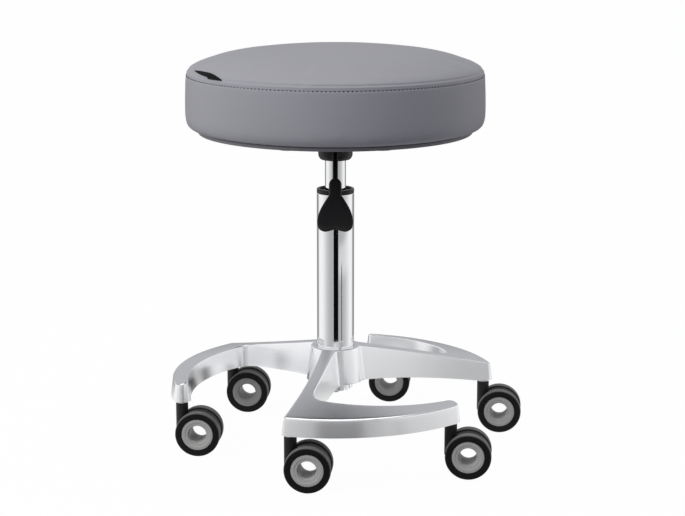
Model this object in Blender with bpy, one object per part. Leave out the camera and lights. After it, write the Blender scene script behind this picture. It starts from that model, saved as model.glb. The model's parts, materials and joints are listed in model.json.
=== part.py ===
# Exam stool: a round upholstered seat on a gas lift, carried by a cast base with hooked
# arms and twin-wheel casters. Metres, +Z up, origin on the floor under the column's axis.

import math

import bmesh
import bpy
from mathutils import Matrix, Vector

for old_object in list(bpy.data.objects):
    bpy.data.objects.remove(old_object, do_unlink=True)

# Clearances
FIT = 0.0003  # between faces that touch on the real object
WHEEL_GAP = 0.0004  # between a turning wheel and the caster body beside it
PASS = 0.010  # how far a cutter runs past the face that it opens

# Casters
WHEEL_DIAMETER = 0.060
WHEEL_WIDTH = 0.0125
TYRE_THICKNESS = 0.0087
TYRE_SHOULDER = 0.0022
RIM_RING = 0.0085  # the rim's face, from its opening out to the tyre
RIM_LIP = 0.0020
RIM_RECESS = 0.0005
AXLE_STEP = 0.0022  # the hollow axle's outside beyond the rim's opening
AXLE_WALL = 0.0033
BODY_INSET = 0.0020  # the body's edge inside the tyres' treads
BODY_WIDTH = 0.0160
BODY_FLOOR_GAP = 0.0070
CASTER_TRAIL = 0.0230
CASTER_HEADING = math.radians(-5.0)
STEM_DIAMETER = 0.0100
STEM_IN_ARM = 0.0160
STEM_IN_HOUSING = 0.0200
HOUSING_WALL = 0.0032
HOUSING_FLOOR = 0.0215
FLANGE_INSET = 0.0007
FLANGE_THICKNESS = 0.0018

# Base
ARM_COUNT = 3
ARM_ANGLE = math.radians(14.6)
HOOK_SWEEP = math.radians(60.0)
STEM_CIRCLE = 0.424
ARM_CLEARANCE = 0.0115  # from the wheels' tops to the arm's underside
ARM_TIP_ROOF = 0.0095  # metal over a caster's stem
ARM_END_WALL = 0.0035
SPOKE_START = 0.40  # share of the hub's radius where an arm starts inside it
SPOKE_HUB_OFFSET = 0.0105  # the spoke's outer side from the arm's axis, at the hub
SPOKE_WAIST_OFFSET = 0.0020
SPOKE_CORNER_WALL = 0.0010  # metal beside a caster's stem, at the arm's top
SPOKE_INNER_OFFSET = 0.0084  # the spoke's inner side from the arm's axis, at the hub
SPOKE_INNER_SPREAD = 0.0037
HOOK_ROOT_WIDTH = 0.0485
HOOK_ROOT_ANGLE = math.radians(11.0)
HOOK_CORNER_REACH = 0.072  # from the casters' circle in to where the spoke opens into the hook
HOOK_CORNER_EASE = 0.002  # how far the inner corner's curve leans in
HOOK_SWELL = 0.28  # how far the hook's inner edge bows in from a steady taper
HUB_WALL = 0.0080
HUB_HEIGHT = 0.048
HUB_RISE = 0.0155  # the hub's underside over the arm's feet
DRAFT = math.radians(7.5)
EDGE_BEVEL = 0.0020
CREST_SHARE = 0.7  # how much of the bevel's depth the top faces draw in
CORNER_CUT = 0.0040
BOSS_WALL = 0.0030
BOSS_LIP = 0.0004
BOSS_RISE = 0.6  # share of the stem's length in the arm that the boss goes up
POCKET_WALL = 0.0040
POCKET_ROOF = 0.0050
ARM_SINK = 0.0005  # step between the hub's faces and the arms' faces

# Lift column
TUBE_DIAMETER = 0.050
TUBE_WALL = 0.0015
TUBE_LENGTH = 0.2698
TUBE_TIP = 0.0125  # how far the tube comes out under the hub
TUBE_TAPER = 0.0020  # how far the tube's outside draws in from the hub's top to its tip
TUBE_FLOOR = 0.0030
BEARING_GAP = 0.0045  # between the bearing and the tube round it
BEARING_HEIGHT = 0.0050
WASHER_INSET = 0.0010
WASHER_THICKNESS = 0.0020
ROD_DIAMETER = 0.010
ROD_SHOULDER = 0.0005  # step from the rod down to the spigot in the tube's floor
ROD_COLLAR_WIDTH = 0.0040
ROD_COLLAR_HEIGHT = 0.0030
ROD_TAIL = 0.0060
PISTON_HEIGHT = 0.012
BUMPER_WALL = 0.0100
BUMPER_HEIGHT = 0.0225
CLIP_WIDTH = 0.0045
CLIP_THICKNESS = 0.0015
CLIP_GROOVE = 0.0009
CYLINDER_DIAMETER = 0.028
CYLINDER_WALL = 0.0020
CYLINDER_SHOWN = 0.0383  # bare cylinder between the bush and the socket's cover, seat down
GLAND_HEIGHT = 0.012
LIFT_STROKE = 0.130
PISTON_MARGIN = 0.0025
BUSH_LENGTH = 0.100
BUSH_RIM_HEIGHT = 0.0055
BUSH_RIM_WIDTH = 0.0035
BUSH_DISH = 0.0025
BUTTON_DIAMETER = 0.0060
BUTTON_IN_CYLINDER = 0.0100
BUTTON_RISE = 0.0040

# Seat mount and lever
SOCKET_WALL = 0.0050
SOCKET_DEPTH = 0.0180
CHAMBER_STEP = 0.0020
COVER_WALL = 0.0040
COVER_LIP = 0.0020
COVER_ROUND = 0.0055
PLATE_SIZE = 0.150
PLATE_THICKNESS = 0.0030
PLATE_CORNER = 0.015
LEVER_DIAMETER = 0.0070
LEVER_SIDE_GAP = 0.0008
LEVER_HEADROOM = 0.0032
LEVER_PIVOT_REACH = 0.0135
LEVER_INNER_END = 0.0045
LEVER_BEND_GAP = 0.0015
LEVER_BEND_RADIUS = 0.010
LEVER_SLOPE = math.radians(55.0)
LEVER_STRAIGHT = 0.0495
LEVER_IN_PADDLE = 0.020
PIN_DIAMETER = 0.0030
PADDLE_LENGTH = 0.074
PADDLE_WIDTH = 0.0465
PADDLE_LOBE_RADIUS = 0.0107
PADDLE_NECK_WALL = 0.00475
PADDLE_NECK_LENGTH = 0.0227
PADDLE_NECK_ROUND = ((0.0, 0.55), (0.35, 0.95), (1.0, 1.0))  # along and across, in neck radii
PADDLE_FLARE = (0.42, 0.78)  # shares of the widening, a third and two thirds of the way
PADDLE_NOTCH = 0.0038
PADDLE_FACE_WALL = 0.0025
PADDLE_TIP_THICKNESS = 0.0060
PADDLE_EDGE = 0.0012
SCREW_EDGE = 0.0200  # from the plate's edges to the screws
SCREW_DIAMETER = 0.0052
SCREW_BITE = 0.0082  # thread in the seat board
SCREW_HEAD_WIDTH = 0.0029
SCREW_HEAD_HEIGHT = 0.0035
SCREW_HEAD_SIDE = 0.60  # share of the head's height with straight sides
SCREW_HEAD_CROWN = 0.64  # share of the head's radius that is flat

# Seat
SEAT_DIAMETER = 0.3994
PAN_INSET = 0.0180
PAN_THICKNESS = 0.0052
PAN_EDGE = 0.0012
BOARD_INSET = 0.0247
BOARD_THICKNESS = 0.0120
SEAM_INSET = 0.0022
SEAM_GROOVE = 0.0012
SIDE_HEIGHT = 0.0760
BOTTOM_ROUND = 0.0130
CROWN_EDGE_RISE = 0.0160
CROWN_EDGE_WIDTH = 0.0550
CROWN_RISE = 0.0140
TAB_LENGTH = 0.064
TAB_WIDTH = 0.0060
TAB_THICKNESS = 0.0012
TAB_ANGLE = math.radians(212.0)

# Facets of the round pieces
WHEEL_STEPS = 18  # twice an odd number, so that a flat of the tread rests on the floor
STEM_STEPS = 10
COLUMN_STEPS = 24
SMALL_STEPS = 14
SEAT_STEPS = 36
ARC_STEPS = 8
ARM_END_TURNS = (28.0, 52.0, 72.0)  # degrees round an arm's end
ROD_STEPS = 10
SHARP_ANGLE = math.radians(32.0)

# Heights that follow from the sizes above, from the floor up
AXLE_HEIGHT = WHEEL_DIAMETER / 2
ARM_FOOT = WHEEL_DIAMETER + ARM_CLEARANCE
ARM_TIP_TOP = ARM_FOOT + STEM_IN_ARM + ARM_TIP_ROOF
HUB_UNDERSIDE = ARM_FOOT + HUB_RISE
HUB_TOP = HUB_UNDERSIDE + HUB_HEIGHT
TUBE_BOTTOM = HUB_UNDERSIDE - TUBE_TIP
TUBE_TOP = TUBE_BOTTOM + TUBE_LENGTH
FLOOR_TOP = TUBE_BOTTOM + TUBE_FLOOR
BEARING_BOTTOM = FLOOR_TOP + FIT
WASHER_BOTTOM = BEARING_BOTTOM + BEARING_HEIGHT + FIT
ROD_COLLAR_BOTTOM = WASHER_BOTTOM + WASHER_THICKNESS + FIT
BUMPER_BOTTOM = ROD_COLLAR_BOTTOM + ROD_COLLAR_HEIGHT + FIT
CYLINDER_BOTTOM = BUMPER_BOTTOM + BUMPER_HEIGHT + FIT
CHAMBER_BOTTOM = CYLINDER_BOTTOM + GLAND_HEIGHT
PISTON_BOTTOM = CHAMBER_BOTTOM + LIFT_STROKE + PISTON_MARGIN
PISTON_TOP = PISTON_BOTTOM + PISTON_HEIGHT
CHAMBER_TOP = PISTON_TOP + PISTON_MARGIN
COVER_BOTTOM = TUBE_TOP + FIT + BUSH_RIM_HEIGHT + CYLINDER_SHOWN
SOCKET_BOTTOM = COVER_BOTTOM + COVER_LIP + FIT
CYLINDER_TOP = SOCKET_BOTTOM + SOCKET_DEPTH
BUTTON_TOP = CYLINDER_TOP + BUTTON_RISE
BUTTON_BOTTOM = CYLINDER_TOP - BUTTON_IN_CYLINDER
LEVER_HEIGHT = BUTTON_TOP + FIT + LEVER_DIAMETER / 2
PLATE_BOTTOM = LEVER_HEIGHT + LEVER_DIAMETER / 2 + LEVER_HEADROOM
PLATE_TOP = PLATE_BOTTOM + PLATE_THICKNESS
PAN_BOTTOM = PLATE_TOP + FIT
CUSHION_BOTTOM = PAN_BOTTOM + PAN_THICKNESS + FIT
SCREW_TOP = CUSHION_BOTTOM + SCREW_BITE
BOARD_TOP = CUSHION_BOTTOM + BOARD_THICKNESS
SEAM_HEIGHT = CUSHION_BOTTOM + SIDE_HEIGHT

# Radii that follow from the sizes above
TYRE_SEAT_RADIUS = WHEEL_DIAMETER / 2 - TYRE_THICKNESS
RIM_OPENING_RADIUS = TYRE_SEAT_RADIUS - RIM_RING
AXLE_RADIUS = RIM_OPENING_RADIUS + AXLE_STEP
BODY_RADIUS = WHEEL_DIAMETER / 2 - BODY_INSET
HOUSING_RADIUS = STEM_DIAMETER / 2 + HOUSING_WALL
STEM_RADIUS = STEM_CIRCLE / 2
ARM_END_RADIUS = STEM_DIAMETER / 2 + ARM_END_WALL
BOSS_RADIUS = STEM_DIAMETER / 2 + BOSS_WALL
SPOKE_CORNER_OFFSET = STEM_DIAMETER / 2 + SPOKE_CORNER_WALL
HUB_RADIUS = TUBE_DIAMETER / 2 + HUB_WALL
ROD_RADIUS = ROD_DIAMETER / 2
SPIGOT_RADIUS = ROD_RADIUS - ROD_SHOULDER
CYLINDER_RADIUS = CYLINDER_DIAMETER / 2
SOCKET_RADIUS = CYLINDER_RADIUS + SOCKET_WALL
COVER_RADIUS = SOCKET_RADIUS + COVER_WALL
SEAT_RADIUS = SEAT_DIAMETER / 2
SEAM_RADIUS = SEAT_RADIUS - SEAM_INSET
BOARD_RADIUS = SEAT_RADIUS - BOARD_INSET


def material(name, colour, roughness, metallic=0.0):
    made = bpy.data.materials.new(name)
    made.use_nodes = True
    shader = made.node_tree.nodes["Principled BSDF"]
    shader.inputs["Base Color"].default_value = (*colour, 1.0)
    shader.inputs["Roughness"].default_value = roughness
    shader.inputs["Metallic"].default_value = metallic
    return made


POLISHED = material("polished_aluminium", (0.80, 0.80, 0.82), 0.18, 1.0)
CHROME = material("chrome", (0.86, 0.86, 0.88), 0.06, 1.0)
STEEL = material("steel", (0.55, 0.55, 0.57), 0.30, 1.0)
BLACK_STEEL = material("black_steel", (0.03, 0.03, 0.03), 0.45)
BLACK_PLASTIC = material("black_plastic", (0.02, 0.02, 0.02), 0.40)
GREY_PLASTIC = material("grey_plastic", (0.36, 0.36, 0.37), 0.45)
RUBBER = material("rubber", (0.015, 0.015, 0.015), 0.70)
LEATHERETTE = material("grey_leatherette", (0.27, 0.27, 0.29), 0.50)
PAN_PLASTIC = material("grey_pan", (0.22, 0.22, 0.24), 0.55)
PLYWOOD = material("plywood", (0.55, 0.40, 0.25), 0.70)
WEBBING = material("black_fabric", (0.01, 0.01, 0.012), 0.80)


def add_object(name, bm, look, parent=None, location=(0, 0, 0), rotation=(0, 0, 0)):
    mesh = bpy.data.meshes.new(name)
    bm.to_mesh(mesh)
    bm.free()
    return add_mesh(name, mesh, look, parent, location, rotation)


def add_mesh(name, mesh, look, parent=None, location=(0, 0, 0), rotation=(0, 0, 0)):
    made = bpy.data.objects.new(name, mesh)
    bpy.context.scene.collection.objects.link(made)
    if look and not mesh.materials:
        mesh.materials.append(look)
    mesh.shade_smooth()
    mesh.set_sharp_from_angle(angle=SHARP_ANGLE)
    made.parent = parent
    made.location = location
    made.rotation_euler = rotation
    return made


def add_empty(name, parent=None, location=(0, 0, 0), rotation=(0, 0, 0)):
    made = bpy.data.objects.new(name, None)
    bpy.context.scene.collection.objects.link(made)
    made.parent = parent
    made.location = location
    made.rotation_euler = rotation
    return made


def turned(profile, steps, closed=True):
    """A turned solid about Z from (radius, height) points. An open profile ends on the axis."""
    bm = bmesh.new()
    verts = [bm.verts.new((radius, 0.0, height)) for radius, height in profile]
    edges = [bm.edges.new(pair) for pair in zip(verts, verts[1:])]
    if closed:
        edges.append(bm.edges.new((verts[-1], verts[0])))
    bmesh.ops.spin(
        bm,
        geom=verts + edges,
        cent=(0, 0, 0),
        axis=(0, 0, 1),
        angle=2 * math.pi,
        steps=steps,
        use_merge=True,
        use_duplicate=False,
    )
    bmesh.ops.remove_doubles(bm, verts=bm.verts[:], dist=1e-6)
    bmesh.ops.recalc_face_normals(bm, faces=bm.faces[:])
    return bm


def ring(inner_radius, outer_radius, bottom, top, steps):
    corners = (
        (inner_radius, bottom),
        (outer_radius, bottom),
        (outer_radius, top),
        (inner_radius, top),
    )
    return turned(corners, steps)


def drum(radius, bottom, top, steps):
    return turned(((0, top), (radius, top), (radius, bottom), (0, bottom)), steps, closed=False)


def prism(outline, bottom, top):
    """A flat outline of (x, y) points, counter-clockwise, raised from bottom to top."""
    bm = bmesh.new()
    face = bm.faces.new([bm.verts.new((x, y, bottom)) for x, y in outline])
    raised = bmesh.ops.extrude_face_region(bm, geom=[face])["geom"]
    verts = [item for item in raised if isinstance(item, bmesh.types.BMVert)]
    bmesh.ops.translate(bm, verts=verts, vec=(0, 0, top - bottom))
    bmesh.ops.recalc_face_normals(bm, faces=bm.faces[:])
    return bm


def box(low, high):
    outline = ((low[0], low[1]), (high[0], low[1]), (high[0], high[1]), (low[0], high[1]))
    return prism(outline, low[2], high[2])


def along_y(bm):
    """Turns a solid that was made about Z so that its axis lies along Y."""
    bm.transform(Matrix.Rotation(math.radians(-90.0), 4, "X"))
    return bm


def along_x(bm):
    """Turns a solid that was made about Z so that its axis lies along X."""
    bm.transform(Matrix.Rotation(math.radians(90.0), 4, "Y"))
    return bm


def moved(bm, offset):
    bm.transform(Matrix.Translation(offset))
    return bm


def combine(target, bm, operation):
    """Applies one Boolean to an object's mesh, with the solid in bm, in its own axes, as tool."""
    mesh = bpy.data.meshes.new("tool")
    bm.to_mesh(mesh)
    bm.free()
    tool = bpy.data.objects.new("tool", mesh)
    bpy.context.scene.collection.objects.link(tool)
    tool.parent = target.parent
    tool.location = target.location
    tool.rotation_euler = target.rotation_euler
    modifier = target.modifiers.new("boolean", "BOOLEAN")
    modifier.operation = operation
    modifier.solver = "EXACT"
    modifier.object = tool
    bpy.context.view_layer.update()
    depsgraph = bpy.context.evaluated_depsgraph_get()
    result = bpy.data.meshes.new_from_object(target.evaluated_get(depsgraph))
    target.modifiers.remove(modifier)
    before = target.data
    result.name = target.name
    target.data = result
    bpy.data.objects.remove(tool, do_unlink=True)
    bpy.data.meshes.remove(mesh)
    if before.users == 0:
        bpy.data.meshes.remove(before)
    target.data.shade_smooth()
    target.data.set_sharp_from_angle(angle=SHARP_ANGLE)


def arc(centre, radius, start, end, steps):
    """Points on an arc, both ends included."""
    points = []
    for step in range(steps + 1):
        angle = start + (end - start) * step / steps
        points.append(Vector((centre[0] + radius * math.cos(angle), centre[1] + radius * math.sin(angle))))
    return points


# Base casting: a hub with three arms. Each arm is a straight spoke to a corner over one
# caster, then a hook that sweeps round to a rounded end over the next caster.


def arm_top(radius):
    share = (radius - HUB_RADIUS) / (STEM_RADIUS - HUB_RADIUS)
    fall = HUB_TOP - ARM_SINK - ARM_TIP_TOP
    return HUB_TOP - ARM_SINK - fall * max(share, 0.0)


def arm_underside(radius):
    share = (radius - HUB_RADIUS) / (STEM_RADIUS - BOSS_RADIUS - HUB_RADIUS)
    share = min(max(share, 0.0), 1.0)
    return HUB_UNDERSIDE + ARM_SINK - (HUB_UNDERSIDE + ARM_SINK - ARM_FOOT) * share**1.6


def arm_edges():
    """The arm's top outline as an outer and an inner edge with matching points."""
    outer_radius = STEM_RADIUS + ARM_END_RADIUS
    opening = STEM_RADIUS - HOOK_CORNER_REACH

    def outer_side(x):
        share = max((x - HUB_RADIUS) / (STEM_RADIUS - HUB_RADIUS), 0.0)
        root = (SPOKE_HUB_OFFSET - SPOKE_WAIST_OFFSET) * (1 - share) ** 3
        corner = (SPOKE_CORNER_OFFSET - SPOKE_WAIST_OFFSET) * share**3
        return -(SPOKE_WAIST_OFFSET + root + corner)

    def inner_side(x):
        return SPOKE_INNER_OFFSET + SPOKE_INNER_SPREAD * (x - HUB_RADIUS) / (opening - HUB_RADIUS)

    outer = []
    inner = []
    start = HUB_RADIUS * SPOKE_START
    spoke_steps = 4
    for step in range(spoke_steps):
        x = start + (opening - start) * step / spoke_steps
        outer.append(Vector((x, outer_side(x))))
        inner.append(Vector((x, inner_side(x))))

    corner_y = outer_side(outer_radius)
    corner_x = math.sqrt(outer_radius**2 - corner_y**2)
    corner_angle = math.atan2(corner_y, corner_x)
    root_radius = outer_radius - HOOK_ROOT_WIDTH
    first = Vector((opening, inner_side(opening)))
    last = Vector((root_radius * math.cos(HOOK_ROOT_ANGLE), root_radius * math.sin(HOOK_ROOT_ANGLE)))
    control = Vector((last.x - HOOK_CORNER_EASE, first.y))
    turn = []
    for share in (0.0, 0.4, 0.8):
        x = opening + (corner_x - opening) * share
        turn.append(Vector((x, outer_side(x))))
    turn.append(Vector((corner_x - CORNER_CUT, outer_side(corner_x - CORNER_CUT))))
    turn.append(Vector((corner_x - CORNER_CUT / 4, corner_y + CORNER_CUT / 4)))
    for share in (0.0, 0.5, 1.0):
        angle = corner_angle + CORNER_CUT / outer_radius
        angle += (HOOK_ROOT_ANGLE - angle) * share
        turn.append(Vector((outer_radius * math.cos(angle), outer_radius * math.sin(angle))))
    for index, point in enumerate(turn):
        share = index / (len(turn) - 1)
        outer.append(point)
        inner.append(first * (1 - share) ** 2 + control * (2 * share * (1 - share)) + last * share**2)

    end_radius = outer_radius - 2 * ARM_END_RADIUS
    for step in range(1, ARC_STEPS + 1):
        share = step / ARC_STEPS
        angle = HOOK_ROOT_ANGLE + (HOOK_SWEEP - HOOK_ROOT_ANGLE) * share
        swell = share + HOOK_SWELL * share * (1 - share)
        radius = root_radius + (end_radius - root_radius) * swell
        outer.append(Vector((outer_radius * math.cos(angle), outer_radius * math.sin(angle))))
        inner.append(Vector((radius * math.cos(angle), radius * math.sin(angle))))

    along = Vector((-math.sin(HOOK_SWEEP), math.cos(HOOK_SWEEP)))
    out = Vector((math.cos(HOOK_SWEEP), math.sin(HOOK_SWEEP)))
    for turned_by in ARM_END_TURNS:
        side = out * math.cos(math.radians(turned_by)) * ARM_END_RADIUS
        ahead = along * math.sin(math.radians(turned_by)) * ARM_END_RADIUS
        outer.append(out * STEM_RADIUS + ahead + side)
        inner.append(out * STEM_RADIUS + ahead - side)
    return outer, inner


def offset_loop(loop, distances):
    """A closed counter-clockwise loop with each corner moved outward by its distance."""
    result = []
    for index, point in enumerate(loop):
        before = (point - loop[index - 1]).normalized()
        after = (loop[(index + 1) % len(loop)] - point).normalized()
        first = Vector((before.y, -before.x))
        second = Vector((after.y, -after.x))
        result.append(point + (first + second) / (1 + first.dot(second)) * distances[index])
    return result


def strip_solid(rings):
    """A closed solid from stacked loops, each an outer edge and then its inner edge backwards."""
    bm = bmesh.new()
    rows = [[bm.verts.new(point) for point in row] for row in rings]
    count = len(rows[0])
    half = count // 2
    for low, high in zip(rows, rows[1:]):
        for index in range(count):
            after = (index + 1) % count
            bm.faces.new((low[index], low[after], high[after], high[index]))
    for index in range(half - 1):
        far = count - 1 - index
        bm.faces.new((rows[-1][index], rows[-1][index + 1], rows[-1][far - 1], rows[-1][far]))
        bm.faces.new((rows[0][far], rows[0][far - 1], rows[0][index + 1], rows[0][index]))
    bmesh.ops.triangulate(bm, faces=bm.faces[:])
    bmesh.ops.recalc_face_normals(bm, faces=bm.faces[:])
    return bm


def arm_solid():
    outer, inner = arm_edges()
    loop = outer + inner[::-1]
    tops = [arm_top(point.length) for point in loop]
    feet = [arm_underside(point.length) for point in loop]
    lean = math.tan(DRAFT)
    bottom = offset_loop(loop, [lean * (top - foot) for top, foot in zip(tops, feet)])
    shoulder = offset_loop(loop, [lean * EDGE_BEVEL] * len(loop))
    crest = offset_loop(loop, [-EDGE_BEVEL * CREST_SHARE] * len(loop))
    return strip_solid(
        (
            [Vector((p.x, p.y, foot)) for p, foot in zip(bottom, feet)],
            [Vector((p.x, p.y, top - EDGE_BEVEL)) for p, top in zip(shoulder, tops)],
            [Vector((p.x, p.y, top)) for p, top in zip(crest, tops)],
        )
    )


def arm_pocket(first, last):
    """The hollow under part of an arm, from one point of its edges to another."""
    outer, inner = arm_edges()
    outer = outer[first : last + 1]
    inner = inner[first : last + 1]
    loop = outer + inner[::-1]
    lean = math.tan(DRAFT)
    roofs = [arm_top(point.length) - POCKET_ROOF for point in loop]
    feet = [arm_underside(point.length) - PASS for point in loop]
    upper = offset_loop(loop, [lean * POCKET_ROOF - POCKET_WALL] * len(loop))
    spread = [lean * (roof + POCKET_ROOF - foot) - POCKET_WALL for roof, foot in zip(roofs, feet)]
    lower = offset_loop(loop, spread)
    return strip_solid(
        (
            [Vector((p.x, p.y, foot)) for p, foot in zip(lower, feet)],
            [Vector((p.x, p.y, roof)) for p, roof in zip(upper, roofs)],
        )
    )


def tube_radius(height):
    """Outside of the lift tube, which tapers below the top of the hub."""
    share = min(max((HUB_TOP - height) / (HUB_TOP - TUBE_BOTTOM), 0.0), 1.0)
    return TUBE_DIAMETER / 2 - TUBE_TAPER * share


def caster_places():
    """Angle of each caster stem: a corner and a hook end on each arm."""
    for arm in range(ARM_COUNT):
        corner = ARM_ANGLE + 2 * math.pi * arm / ARM_COUNT
        yield corner
        yield corner + HOOK_SWEEP


def turn_about_z(bm, angle):
    bm.transform(Matrix.Rotation(angle, 4, "Z"))
    return bm


def build_base():
    lean = math.tan(DRAFT)
    hub = turned(
        (
            (0, HUB_TOP),
            (HUB_RADIUS - EDGE_BEVEL, HUB_TOP),
            (HUB_RADIUS, HUB_TOP - EDGE_BEVEL),
            (HUB_RADIUS + lean * (HUB_HEIGHT - EDGE_BEVEL), HUB_UNDERSIDE),
            (0, HUB_UNDERSIDE),
        ),
        COLUMN_STEPS,
        closed=False,
    )
    base = add_object("base_casting", hub, POLISHED)
    arm_turns = [ARM_ANGLE + 2 * math.pi * arm / ARM_COUNT for arm in range(ARM_COUNT)]
    for angle in arm_turns:
        combine(base, turn_about_z(arm_solid(), angle), "UNION")
    for angle in arm_turns:
        combine(base, turn_about_z(arm_pocket(2, 6), angle), "DIFFERENCE")
        combine(base, turn_about_z(arm_pocket(11, 11 + ARC_STEPS - 1), angle), "DIFFERENCE")
    boss_top = ARM_FOOT + STEM_IN_ARM * BOSS_RISE
    for angle in caster_places():
        place = Vector((STEM_RADIUS * math.cos(angle), STEM_RADIUS * math.sin(angle), 0))
        boss = drum(BOSS_RADIUS, ARM_FOOT - BOSS_LIP, boss_top, SMALL_STEPS)
        combine(base, moved(boss, place), "UNION")
        hole = drum(STEM_DIAMETER / 2 + FIT, ARM_FOOT - PASS, ARM_FOOT + STEM_IN_ARM + FIT, STEM_STEPS)
        combine(base, moved(hole, place), "DIFFERENCE")
    bore = (
        (0, HUB_TOP + PASS),
        (tube_radius(HUB_TOP) + FIT, HUB_TOP + PASS),
        (tube_radius(HUB_TOP) + FIT, HUB_TOP),
        (tube_radius(HUB_UNDERSIDE) + FIT, HUB_UNDERSIDE),
        (tube_radius(HUB_UNDERSIDE) + FIT, HUB_UNDERSIDE - PASS),
        (0, HUB_UNDERSIDE - PASS),
    )
    combine(base, turned(bore, COLUMN_STEPS, closed=False), "DIFFERENCE")


# Lift column: tapered outer tube with its guide bush, a thrust bearing on the tube's floor,
# the piston rod that turns on it and the gas cylinder that slides on the rod.


def build_column(swivel, lift):
    tip = tube_radius(TUBE_BOTTOM)
    floor_hole = SPIGOT_RADIUS + FIT
    tube = (
        (floor_hole, TUBE_BOTTOM),
        (tip, TUBE_BOTTOM),
        (tube_radius(HUB_TOP), HUB_TOP),
        (TUBE_DIAMETER / 2, TUBE_TOP),
        (TUBE_DIAMETER / 2 - TUBE_WALL, TUBE_TOP),
        (tube_radius(HUB_TOP) - TUBE_WALL, HUB_TOP),
        (tube_radius(FLOOR_TOP) - TUBE_WALL, FLOOR_TOP),
        (floor_hole, FLOOR_TOP),
    )
    add_object("column_tube", turned(tube, COLUMN_STEPS), CHROME)

    bush_bottom = TUBE_TOP - BUSH_LENGTH
    slide = CYLINDER_RADIUS + FIT
    rim_bottom = TUBE_TOP + FIT
    rim_top = rim_bottom + BUSH_RIM_HEIGHT
    bush_outer = TUBE_DIAMETER / 2 - TUBE_WALL - FIT
    rim_inner = TUBE_DIAMETER / 2 - BUSH_RIM_WIDTH
    bush = (
        (slide, bush_bottom),
        (bush_outer, bush_bottom),
        (bush_outer, rim_bottom),
        (TUBE_DIAMETER / 2, rim_bottom),
        (TUBE_DIAMETER / 2, rim_top),
        (rim_inner, rim_top),
        (rim_inner, rim_top - BUSH_DISH),
        (slide, rim_top - BUSH_DISH),
    )
    add_object("guide_bush", turned(bush, COLUMN_STEPS), BLACK_PLASTIC)

    bearing_outer = tube_radius(FLOOR_TOP) - TUBE_WALL - BEARING_GAP
    bearing = ring(
        floor_hole,
        bearing_outer,
        BEARING_BOTTOM,
        BEARING_BOTTOM + BEARING_HEIGHT,
        SMALL_STEPS,
    )
    add_object("thrust_bearing", bearing, STEEL)
    washer = ring(
        floor_hole,
        bearing_outer - WASHER_INSET,
        WASHER_BOTTOM,
        WASHER_BOTTOM + WASHER_THICKNESS,
        SMALL_STEPS,
    )
    add_object("bearing_washer", washer, STEEL, swivel)

    piston_radius = CYLINDER_RADIUS - CYLINDER_WALL - FIT
    clip_top = TUBE_BOTTOM - FIT
    clip_bottom = clip_top - CLIP_THICKNESS
    groove = SPIGOT_RADIUS - CLIP_GROOVE
    collar = ROD_RADIUS + ROD_COLLAR_WIDTH
    rod = (
        (0, PISTON_TOP),
        (piston_radius, PISTON_TOP),
        (piston_radius, PISTON_BOTTOM),
        (ROD_RADIUS, PISTON_BOTTOM),
        (ROD_RADIUS, ROD_COLLAR_BOTTOM + ROD_COLLAR_HEIGHT),
        (collar, ROD_COLLAR_BOTTOM + ROD_COLLAR_HEIGHT),
        (collar, ROD_COLLAR_BOTTOM),
        (SPIGOT_RADIUS, ROD_COLLAR_BOTTOM),
        (SPIGOT_RADIUS, clip_top),
        (groove, clip_top),
        (groove, clip_bottom - FIT),
        (SPIGOT_RADIUS, clip_bottom - FIT),
        (SPIGOT_RADIUS, TUBE_BOTTOM - ROD_TAIL),
        (0, TUBE_BOTTOM - ROD_TAIL),
    )
    add_object("piston_rod", turned(rod, SMALL_STEPS, closed=False), STEEL, swivel)
    bumper = ring(
        ROD_RADIUS + FIT,
        ROD_RADIUS + BUMPER_WALL,
        BUMPER_BOTTOM,
        BUMPER_BOTTOM + BUMPER_HEIGHT,
        SMALL_STEPS,
    )
    add_object("rubber_bumper", bumper, RUBBER, swivel)
    clip = ring(groove + FIT, SPIGOT_RADIUS + CLIP_WIDTH, clip_bottom, clip_top, SMALL_STEPS)
    add_object("retaining_clip", clip, STEEL, swivel)

    inside = CYLINDER_RADIUS - CYLINDER_WALL
    gland = ROD_RADIUS + FIT
    well = BUTTON_DIAMETER / 2 + FIT
    well_bottom = BUTTON_BOTTOM - BUTTON_RISE - FIT
    cylinder = (
        (0, well_bottom),
        (well, well_bottom),
        (well, CYLINDER_TOP),
        (CYLINDER_RADIUS, CYLINDER_TOP),
        (CYLINDER_RADIUS, CYLINDER_BOTTOM),
        (gland, CYLINDER_BOTTOM),
        (gland, CHAMBER_BOTTOM),
        (inside, CHAMBER_BOTTOM),
        (inside, CHAMBER_TOP),
        (0, CHAMBER_TOP),
    )
    add_object("gas_cylinder", turned(cylinder, COLUMN_STEPS, closed=False), CHROME, lift)
    button = drum(BUTTON_DIAMETER / 2, BUTTON_BOTTOM, BUTTON_TOP, STEM_STEPS)
    add_object("valve_button", button, STEEL, lift)


# Seat mount: a steel plate with a socket that holds the gas cylinder. The lever turns on a
# pin in the socket's walls and its inner end lies over the valve button.


def screw_places():
    half = PLATE_SIZE / 2 - SCREW_EDGE
    return ((half, half), (-half, half), (-half, -half), (half, -half))


def rounded_square(size, corner):
    half = size / 2 - corner
    points = []
    for quarter, (x, y) in enumerate(((half, half), (-half, half), (-half, -half), (half, -half))):
        start = quarter * math.pi / 2
        points += arc((x, y), corner, start, start + math.pi / 2, 3)
    return [(point.x, point.y) for point in points]


def lever_slot(side_gap):
    """Cutter for the lever's way out of the socket, towards -Y."""
    half = LEVER_DIAMETER / 2 + side_gap
    low = LEVER_HEIGHT - LEVER_DIAMETER / 2 - FIT * 2
    return box((-half, -COVER_RADIUS - PASS, low), (half, 0, PLATE_BOTTOM))


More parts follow.
